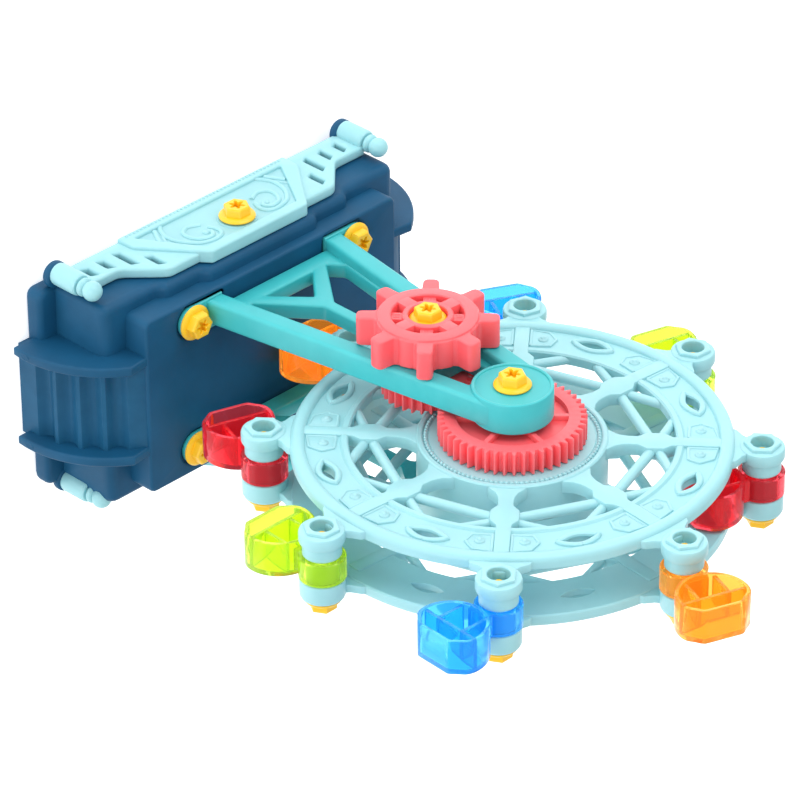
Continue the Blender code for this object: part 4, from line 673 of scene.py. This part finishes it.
driveGear = bmesh.new()
near, far = -gearPlan["front"], -gearPlan["back"]
teethInner = gearPlan["module"] * (gearPlan["wheelTeeth"] / 2 - gearPlan["dedendum"]) - gearPlan["rim"]
stamp(driveGear, plate(gearLoop(gearPlan["wheelTeeth"], -90.0), near, far, edge=0.00025,
    holes=[circleLoop(teethInner, 72)], turns=2))
stamp(driveGear, turned([(0.0040, near), (gearPlan["hub"] - 0.0004, near), (gearPlan["hub"], near + 0.0004),
    (gearPlan["hub"] + 0.0003, near + gearPlan["recess"]), (teethInner + 0.0004, near + gearPlan["recess"]),
    (teethInner + 0.0004, far), (0.0040, far)], 72, closed=True))
for number in range(gearPlan["ribs"]):
    rib = boxLoop(gearPlan["hub"] - 0.0006, teethInner + 0.0006, -gearPlan["rib"] / 2, gearPlan["rib"] / 2)
    stamp(driveGear, plate(rib, near + 0.0002, near + 0.0030, edge=0.0003, turns=2), aboutY(15 + 60 * number))
bmesh.ops.translate(driveGear, verts=driveGear.verts, vec=wheelCentre)
makePiece(driveGear, "driveGear", "coral", "wheel", "drive_gear", sharp=32.0)

pinion = bmesh.new()
stamp(pinion, plate(gearLoop(gearPlan["pinionTeeth"], 96.0), near, far - 0.0009, edge=0.00025, turns=2))
stamp(pinion, turned([(0.0, -0.0420), (0.0030, -0.0420), (0.0030, -0.0340), (0.0044, -0.0337), (0.0044, -0.0130),
    (0.0, -0.0130)], 32))
bmesh.ops.translate(pinion, verts=pinion.verts, vec=(0.0, 0.0, crankHeight))
makePiece(pinion, "crankPinion", "coral", "crank", "crank_pinion", sharp=32.0)


def makeCrankWheel():
    plan = crankPlan
    wheel = bmesh.new()
    front, rear = -plan["front"], -plan["rear"]
    handle = ((0.0176, -0.0042, 0.0), (0.0186, -0.0030, 0.0006), (plan["reach"], -plan["handle"], 0.0021),
        (plan["reach"], plan["handle"], 0.0021), (0.0186, 0.0030, 0.0006), (0.0176, 0.0042, 0.0))
    loop = []
    for number in range(8):
        angle = plan["rest"] + 45 * number
        cos, sin = polar(1.0, angle)
        loop += [(u * cos - v * sin, u * sin + v * cos, corner) for u, v, corner in handle]
        loop += [polar(plan["ring"], angle + step) + (0.0,) for step in (17, 22.5, 28)]
    stamp(wheel, plate(loop, front + plan["raise"], rear, edge=0.0007,
        holes=[circleLoop(plan["inner"] + 0.0004, 96)], turns=4))
    r = plan["ring"]
    stamp(wheel, turned([(plan["inner"], rear + 0.0002), (plan["inner"], front + 0.0004),
        (plan["inner"] + 0.0004, front), (r - 0.0014, front), (r - 0.0008, front + 0.0003),
        (r - 0.0005, front + 0.0010), (r - 0.0005, front + 0.0030), (r - 0.0010, rear + 0.0002)], 96, closed=True))
    r = plan["recess"]
    stamp(wheel, turned([(0.0, front + plan["recessDeep"]), (r, front + plan["recessDeep"]), (r, front + 0.0003),
        (r + 0.0003, front), (plan["hub"] - 0.0004, front), (plan["hub"], front + 0.0004),
        (plan["hub"], rear + 0.0002), (0.0, rear + 0.0002)], 64))
    for number in range(8):
        sunk = number % 2 == 0
        half = plan["spoke"] if sunk else plan["web"]
        level = front + (plan["sink"] if sunk else 0.0)
        spoke = boxLoop(plan["hub"] - 0.0008, plan["inner"] + 0.0008, -half, half)
        spin = aboutY(plan["rest"] + 45 * number)
        stamp(wheel, plate(spoke, level, rear + 0.0002, edge=0.0003, turns=2), spin)
        # Three grip bars on each sunk spoke
        for place in (-0.0010, 0.0, 0.0010) if sunk else ():
            grip = boxLoop(0.0098, 0.0121, place - 0.00025, place + 0.00025)
            stamp(wheel, plate(grip, level - 0.0002, level + 0.0004, edge=0.0001, turns=2), spin)
    bmesh.ops.translate(wheel, verts=wheel.verts, vec=(0.0, 0.0, crankHeight))
    return wheel


makePiece(makeCrankWheel(), "crankWheel", "coral", "crank", "crank_wheel", sharp=33.0)
print("gears and crank made")


# The wheel's two lattice rims, drawn flat from the middle out, with Y as depth behind the face
rimPlan = {"outer": 0.0770, "bandOuter": 0.0717, "bandInner": 0.0567, "lipWidth": 0.0030, "thick": 0.0050,
    "sink": 0.0016, "hub": 0.0333, "pearl": 0.00082, "beadRing": 0.0301, "beads": 108, "spoke": 0.0027,
    "node": 0.0495, "tie": 0.0019, "tieDepth": 0.0033, "strutSpread": 17.5, "eye": 0.0668, "eyeLength": 0.0064,
    "eyeWidth": 0.0025, "stud": 0.0648, "frontFace": -0.0129, "rearFace": 0.0155}


# A pointed oval lying along the band at the given angle
def eyeLoop(middle, grow, steps=10):
    loop = []
    for side in (1, -1):
        for step in range(steps):
            share = side * (2 * step / steps - 1)
            bulge = (rimPlan["eyeWidth"] + grow) * math.cos(math.pi / 2 * share) ** 0.85
            loop.append((side * bulge, (rimPlan["eyeLength"] + 1.3 * grow) * share))
    return [polar(rimPlan["eye"] + across, middle + math.degrees(along / rimPlan["eye"])) for across, along in loop]


def makeBandWithEyes():
    plan = rimPlan
    inner, lip, border, outer = plan["bandInner"], plan["bandInner"] + plan["lipWidth"], plan["bandOuter"], plan["outer"]
    sink, thick = plan["sink"], plan["thick"]
    profile = [(inner, sink - 0.0002), (inner + 0.0006, sink - 0.0008), (lip - 0.0008, sink - 0.0008), (lip, sink),
        (border, sink), (border + 0.0002, 0.0010), (border + 0.0008, 0.0003), (border + 0.0018, 0.0),
        (outer - 0.0020, 0.0), (outer - 0.0009, 0.0004), (outer - 0.0002, 0.0013), (outer, 0.0024),
        (outer, thick - 0.0005), (outer - 0.0005, thick), (inner + 0.0005, thick), (inner, thick - 0.0005)]
    band = turned(profile, 144, closed=True)
    cutter = bmesh.new()
    for number in range(8):
        stamp(cutter, slab(eyeLoop(firstEar + 45 * number + 22.5, 0.0), -0.002, thick + 0.002))
    carriers = []
    for label, shape in (("band", band), ("cutter", cutter)):
        carriers.append(addObject(label, meshOf(shape, label)))
        shape.free()
    opening = carriers[0].modifiers.new("opening", "BOOLEAN")
    opening.operation = "DIFFERENCE"
    opening.solver = "EXACT"
    opening.object = carriers[1]
    solved = carriers[0].evaluated_get(bpy.context.evaluated_depsgraph_get()).to_mesh()
    result = bmesh.new()
    result.from_mesh(solved)
    for carrier in carriers:
        bpy.data.meshes.remove(carrier.data)
    return result


# One eighth of the lattice, drawn round the spoke that points along +X
def makeSpokeSector():
    plan = rimPlan
    sector = bmesh.new()
    hub, node, half, outer = plan["hub"], plan["node"], plan["spoke"], plan["bandOuter"] + 0.0008
    flare = [(hub - 0.0012, 0.0072), (hub + 0.0008, 0.0054), (hub + 0.0024, 0.0040), (hub + 0.0046, half + 0.0004),
        (hub + 0.0066, half), (node - 0.0060, half), (node - 0.0030, half + 0.0023), (node + 0.0030, half + 0.0023),
        (node + 0.0060, half), (outer, half)]
    loop = flare + [(u, -v) for u, v in reversed(flare)]
    stamp(sector, slab(loop, 0.0006, plan["thick"] + 0.0005, bevel=0.0005))
    nodePlace = Vector((node, plan["tieDepth"], 0.0))
    for side in (1, -1):
        if side > 0:
            u, v = polar(node, 45)
            stamp(sector, bar(nodePlace, Vector((u, plan["tieDepth"], v)), plan["tie"], 14))
        u, v = polar(plan["bandInner"] + 0.0018, plan["strutSpread"] * side)
        stamp(sector, bar(nodePlace, Vector((u, plan["tieDepth"], v)), plan["tie"] * 0.92, 12))
        # Framed panel beside the spoke with a domed stud
        width, near, studX = 0.0090, half + 0.0006, plan["stud"] + 0.0002
        studZ = side * (near + width * 0.48)
        panel = [(plan["bandInner"] + 0.0042, near * side), (plan["bandInner"] + 0.0044,
            (near + width * 0.78) * side), (studX, (near + width) * side),
            (plan["bandOuter"] - 0.0020, (near + width * 0.72) * side), (plan["bandOuter"] - 0.0006, near * side)]
        framePath = [Vector((u, plan["sink"] - 0.0002, v)) for u, v in panel + panel[:1]]
        stamp(sector, plate(panel if side > 0 else panel[::-1], plan["sink"] - 0.0004, plan["sink"] + 0.0010,
            edge=0.0003, corner=0.0004, turns=2))
        stamp(sector, rod(framePath, 0.00062, steps=8, flatten=0.9))
        stamp(sector, bead(0.0020, 0.45), shift(studX, plan["sink"] - 0.0004, studZ))
        stamp(sector, bead(0.0012, 0.8), shift(studX, plan["sink"] - 0.0007, studZ))
    # Bracket that carries the ear
    bracket = [(0.0752, 0.0112), (0.0775, 0.0100), (0.0795, 0.0068), (0.0815, 0.0052), (0.0830, 0.0050),
        (0.0830, -0.0050), (0.0815, -0.0052), (0.0795, -0.0068), (0.0775, -0.0100), (0.0752, -0.0112)]
    stamp(sector, slab(bracket, 0.0015, plan["thick"] - 0.0003, bevel=0.0004))
    return sector


# Lip round an eye, drawn with the eye at its angle
def makeEyeLip():
    path = [Vector((u, rimPlan["sink"], v)) for u, v in eyeLoop(22.5, 0.0007, steps=14)]
    # Starts and ends halfway along a side, where the two ends meet flush
    return rod(path[7:] + path[:8], 0.0012, steps=10, flatten=0.95)


def makeRim():
    rim = makeBandWithEyes()
    sector = makeSpokeSector()
    lip = makeEyeLip()
    for number in range(8):
        spin = aboutY(firstEar + 45 * number)
        stamp(rim, sector, spin, keep=True)
        stamp(rim, lip, spin, keep=True)
    sector.free()
    lip.free()
    return rim


# Widens the round outside of a turned shape to a hexagon of the given corner radius
def squareToHexagon(shape, corner, beyond):
    for vert in shape.verts:
        radius = math.hypot(vert.co.x, vert.co.z)
        if radius > beyond:
            angle = (math.degrees(math.atan2(vert.co.z, vert.co.x)) + 30.0) % 60.0 - 30.0
            reach = corner * math.cos(math.radians(30)) / math.cos(math.radians(abs(angle) - 30.0))
            factor = (reach - (corner - radius)) / radius
            vert.co.x *= factor
            vert.co.z *= factor


def makeHub(front):
    hub = bmesh.new()
    r = rimPlan["hub"]
    inside = r - 0.0021
    if front:
        profile = [(0.0039, -0.0122), (0.0289, -0.0122), (0.0291, -0.0119), (0.0311, -0.0119), (inside, -0.0126),
            (inside + 0.0004, -0.0129), (r - 0.0005, -0.0129), (r, -0.0124), (r, 0.0015), (r - 0.0024, 0.0015),
            (r - 0.0024, -0.0100), (0.0066, -0.0100), (0.0066, 0.0015), (0.0039, 0.0015)]
        beadY = -0.0122
    else:
        profile = [(0.0039, 0.0209), (0.0062, 0.0209), (0.0066, 0.0205), (0.0066, 0.0152), (0.0072, 0.0148),
            (inside - 0.0003, 0.0148), (inside, 0.0151), (inside + 0.0004, 0.0155), (r - 0.0005, 0.0155),
            (r, 0.0150), (r, 0.0018), (r - 0.0024, 0.0018), (r - 0.0024, 0.0126), (0.0066, 0.0126),
            (0.0066, 0.0018), (0.0039, 0.0018)]
        beadY = 0.0148
    stamp(hub, turned(profile, 96, closed=True))
    pearl = bead(rimPlan["pearl"], subdivisions=1)
    for number in range(rimPlan["beads"]):
        x, z = polar(rimPlan["beadRing"], 360 * number / rimPlan["beads"])
        stamp(hub, pearl, shift(x, beadY, z), keep=True)
    pearl.free()
    return hub


def makeEar(front):
    ear = bmesh.new()
    if front:
        stamp(ear, turned([(0.0040, -0.0086), (0.0040, -0.0119), (0.0070, -0.0119), (0.0077, -0.0115),
            (0.0080, -0.0107), (0.0080, -0.0078), (0.0077, -0.0071), (0.0071, -0.0068), (0.0068, -0.0065),
            (0.0068, -0.0024), (0.0065, -0.0020), (0.0056, -0.0020), (0.0056, 0.0071), (0.0020, 0.0071),
            (0.0020, -0.0086)], 48, closed=True))
        pad = turned([(0.0040, -0.0112), (0.0040, -0.0129), (0.0043, -0.0132), (0.0061, -0.0132), (0.0065, -0.0129),
            (0.0066, -0.0112)], 72, closed=True)
        squareToHexagon(pad, 0.0066, 0.0055)
        stamp(ear, pad)
    else:
        stamp(ear, turned([(0.0021, 0.0074), (0.0077, 0.0074), (0.0080, 0.0077), (0.0080, 0.0138), (0.0076, 0.0147),
            (0.0068, 0.0152), (0.0021, 0.0152)], 48, closed=True))
    return ear


for node, name, front in (("rim_front", "rimFront", True), ("rim_rear", "rimRear", False)):
    rim = bmesh.new()
    facing = Matrix.Diagonal((1.0, 1.0 if front else -1.0, 1.0, 1.0))
    stamp(rim, makeRim(), shift(0.0, rimPlan["frontFace" if front else "rearFace"], 0.0) @ facing)
    stamp(rim, makeHub(front))
    ear = makeEar(front)
    for number in range(8):
        x, z = polar(earRadius, firstEar + 45 * number)
        stamp(rim, ear, shift(x, 0.0, z) @ aboutY(firstEar + 45 * number), keep=True)
    ear.free()
    bmesh.ops.translate(rim, vec=wheelCentre, verts=rim.verts)
    makePiece(rim, name, "mint", "wheel", node)
print("rims made")


# The swinging cabins: a see-through cup with ribs, a neck and a collar on the ear's pin
cabinPlan = {"front": -0.0038, "depth": 0.0132, "reach": 0.0302, "centre": 0.0216, "halfWidth": 0.0130,
    "floorHalf": 0.0072, "wall": 0.0015, "back": 0.0014, "chord": 0.0080, "window": 0.0056, "neck": 0.0045,
    "collarFront": -0.0017, "collarRear": 0.0071, "collar": 0.0083, "bore": 0.0058}


def cabinLoop():
    plan = cabinPlan
    half, floorHalf = plan["halfWidth"], plan["floorHalf"]
    low = plan["reach"]
    roof = [(x, z - plan["centre"]) for x, z in [polar(half, 180 * step / 32) for step in range(33)]]
    left = [(-half * 0.996, -plan["centre"] - 0.0014), (-half * 0.965, -plan["centre"] - 0.0030),
        (-half * 0.905, -plan["centre"] - 0.0045), (-floorHalf - 0.0022, -low + 0.0020),
        (-floorHalf - 0.0010, -low + 0.0008), (-floorHalf, -low + 0.0001), (-floorHalf + 0.0012, -low)]
    return roof + left + [(-x, z) for x, z in reversed(left)]


def makeCabin():
    plan = cabinPlan
    rear = plan["front"] + plan["depth"]
    cup = slab(cabinLoop(), plan["front"], rear)
    mouth = [face for face in cup.faces if len(face.verts) > 10
        and face.calc_center_median().y < plan["front"] + 0.0001]
    bmesh.ops.inset_region(cup, faces=mouth, thickness=plan["wall"], use_even_offset=True, use_boundary=True)
    bmesh.ops.translate(cup, verts=pushFaces(cup, mouth)[1], vec=(0.0, plan["depth"] - plan["back"], 0.0))
    soften(settle(cup), 0.0004, 60)
    chord = -plan["reach"] + plan["chord"]
    inside = plan["halfWidth"] - plan["wall"] * 0.7
    rib = 0.00075
    stamp(cup, slab([(-inside, chord - rib), (inside, chord - rib), (inside, chord + rib), (-inside, chord + rib)],
        plan["front"] + 0.0004, rear - 0.0010, bevel=0.0003))
    top = -plan["centre"] + math.sqrt(plan["halfWidth"] ** 2 - plan["window"] ** 2) - 0.0012
    for side in (-1, 1):
        middle = side * plan["window"]
        stamp(cup, slab([(middle - rib, chord), (middle + rib, chord), (middle + rib, top), (middle - rib, top)],
            plan["front"] + 0.0006, rear - 0.0010, bevel=0.0003))
    stamp(cup, turned([(plan["bore"], plan["collarFront"]), (plan["collar"] - 0.0004, plan["collarFront"]),
        (plan["collar"], plan["collarFront"] + 0.0004), (plan["collar"], plan["collarRear"] - 0.0004),
        (plan["collar"] - 0.0004, plan["collarRear"]), (plan["bore"], plan["collarRear"])], 48, closed=True))
    neckTop = -math.sqrt(plan["collar"] ** 2 - plan["neck"] ** 2) - 0.0001
    neckLow = -plan["centre"] + math.sqrt(plan["halfWidth"] ** 2 - plan["neck"] ** 2)
    stamp(cup, slab([(-plan["neck"], neckLow), (-plan["neck"], neckTop), (plan["neck"], neckTop),
        (plan["neck"], neckLow)], plan["collarFront"] + 0.0003, plan["collarRear"] - 0.0003))
    return cup


cabinColours = ("red_clear", "lime_clear", "blue_clear", "orange_clear")
cabin = makeCabin()
for number, pin in pinPlaces.items():
    verts = frame["nodes"]["gondola_%d" % number].data.vertices
    middle = sum((vert.co for vert in verts), Vector()) / len(verts)
    lean = math.atan2(middle.z - pin.z, middle.x - pin.x) + math.pi / 2
    placed = bmesh.new()
    stamp(placed, cabin, shift(pin.x, 0.0, pin.z) @ Matrix.Rotation(-lean, 4, "Y"), keep=True)
    makePiece(placed, "cabin_%d_shell" % number, cabinColours[(number - 1) % 4], "cabin_%d" % number,
        "gondola_%d" % number)
cabin.free()
print("cabins made")


# Moulded screws: flange, soft hexagon head and a six-lobed recess
screwPlan = {"flange": 0.0067, "flangeTop": 0.0056, "flangeHeight": 0.0014, "hexagon": 0.0051, "head": 0.0047,
    "shank": 0.0019, "recess": 0.0024, "lobe": 0.0007, "recessDepth": 0.0022, "tip": 0.0014}


# Head towards -Y, seat at Y = 0
def makeScrew(length):
    plan = screwPlan
    flange, top, shank, rise = plan["flange"], plan["flangeTop"], plan["shank"], plan["flangeHeight"]
    screw = turned([(0.0, -rise), (top, -rise), (top + 0.0006, 0.0003 - rise), (flange, -0.0005), (flange, -0.0001),
        (flange - 0.0002, 0.0), (shank, 0.0), (shank, length - 0.0006), (shank - 0.0006, length), (0.0, length)],
        48)
    head = bmesh.new()
    bmesh.ops.create_circle(head, cap_ends=True, segments=72, radius=plan["hexagon"])
    bmesh.ops.rotate(head, verts=head.verts, cent=(0, 0, 0), matrix=Matrix.Rotation(math.pi / 2, 3, "X"))
    bmesh.ops.translate(head, verts=head.verts, vec=(0.0, -rise * 0.6, 0.0))
    squareToHexagon(head, plan["hexagon"], 0.0001)
    top = head.faces[:]
    for step, shrink in ((plan["head"] - rise * 0.6 - 0.0007, 0.97), (0.0004, 0.965), (0.0003, 0.90)):
        top, verts = pushFaces(head, top)
        bmesh.ops.translate(head, verts=verts, vec=(0.0, -step, 0.0))
        bmesh.ops.scale(head, verts=verts, vec=(shrink, 1.0, shrink))
    for drop in (0.0, 0.0003, plan["recessDepth"]):
        top, verts = pushFaces(head, top)
        for vert in verts:
            angle = math.atan2(vert.co.z, vert.co.x)
            reach = plan["recess"] + plan["lobe"] * math.cos(6 * angle) - (0.0003 if drop else 0.0)
            vert.co = (reach * math.cos(angle), drop - plan["head"], reach * math.sin(angle))
    stamp(screw, head)
    return screw


bodyOfNode = {node: body for body, nodes in frame["record"]["behaviour"]["bodies"].items() for node in nodes}
for node in [node for node in frame["nodes"] if "screw" in node]:
    low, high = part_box(node)
    middle = (low + high) / 2
    length, turn = high.y - low.y - screwPlan["head"], Matrix.Identity(4)
    place = shift(middle.x, low.y + screwPlan["head"], middle.z)
    if node.startswith("foot"):
        length, turn = high.z - low.z - screwPlan["head"], Matrix.Rotation(-math.pi / 2, 4, "X")
        place = shift(middle.x, middle.y, high.z - screwPlan["head"])
    elif node.startswith("gondola") or node.endswith("rear"):
        place, turn = shift(middle.x, high.y - screwPlan["head"], middle.z), halfTurn
    screw = bmesh.new()
    stamp(screw, makeScrew(length + (screwPlan["tip"] if node.startswith("gondola") else 0.0)), place @ turn)
    makePiece(screw, node.replace("_screw", "Screw"), "yellow", bodyOfNode[node], node)
print("screws made")
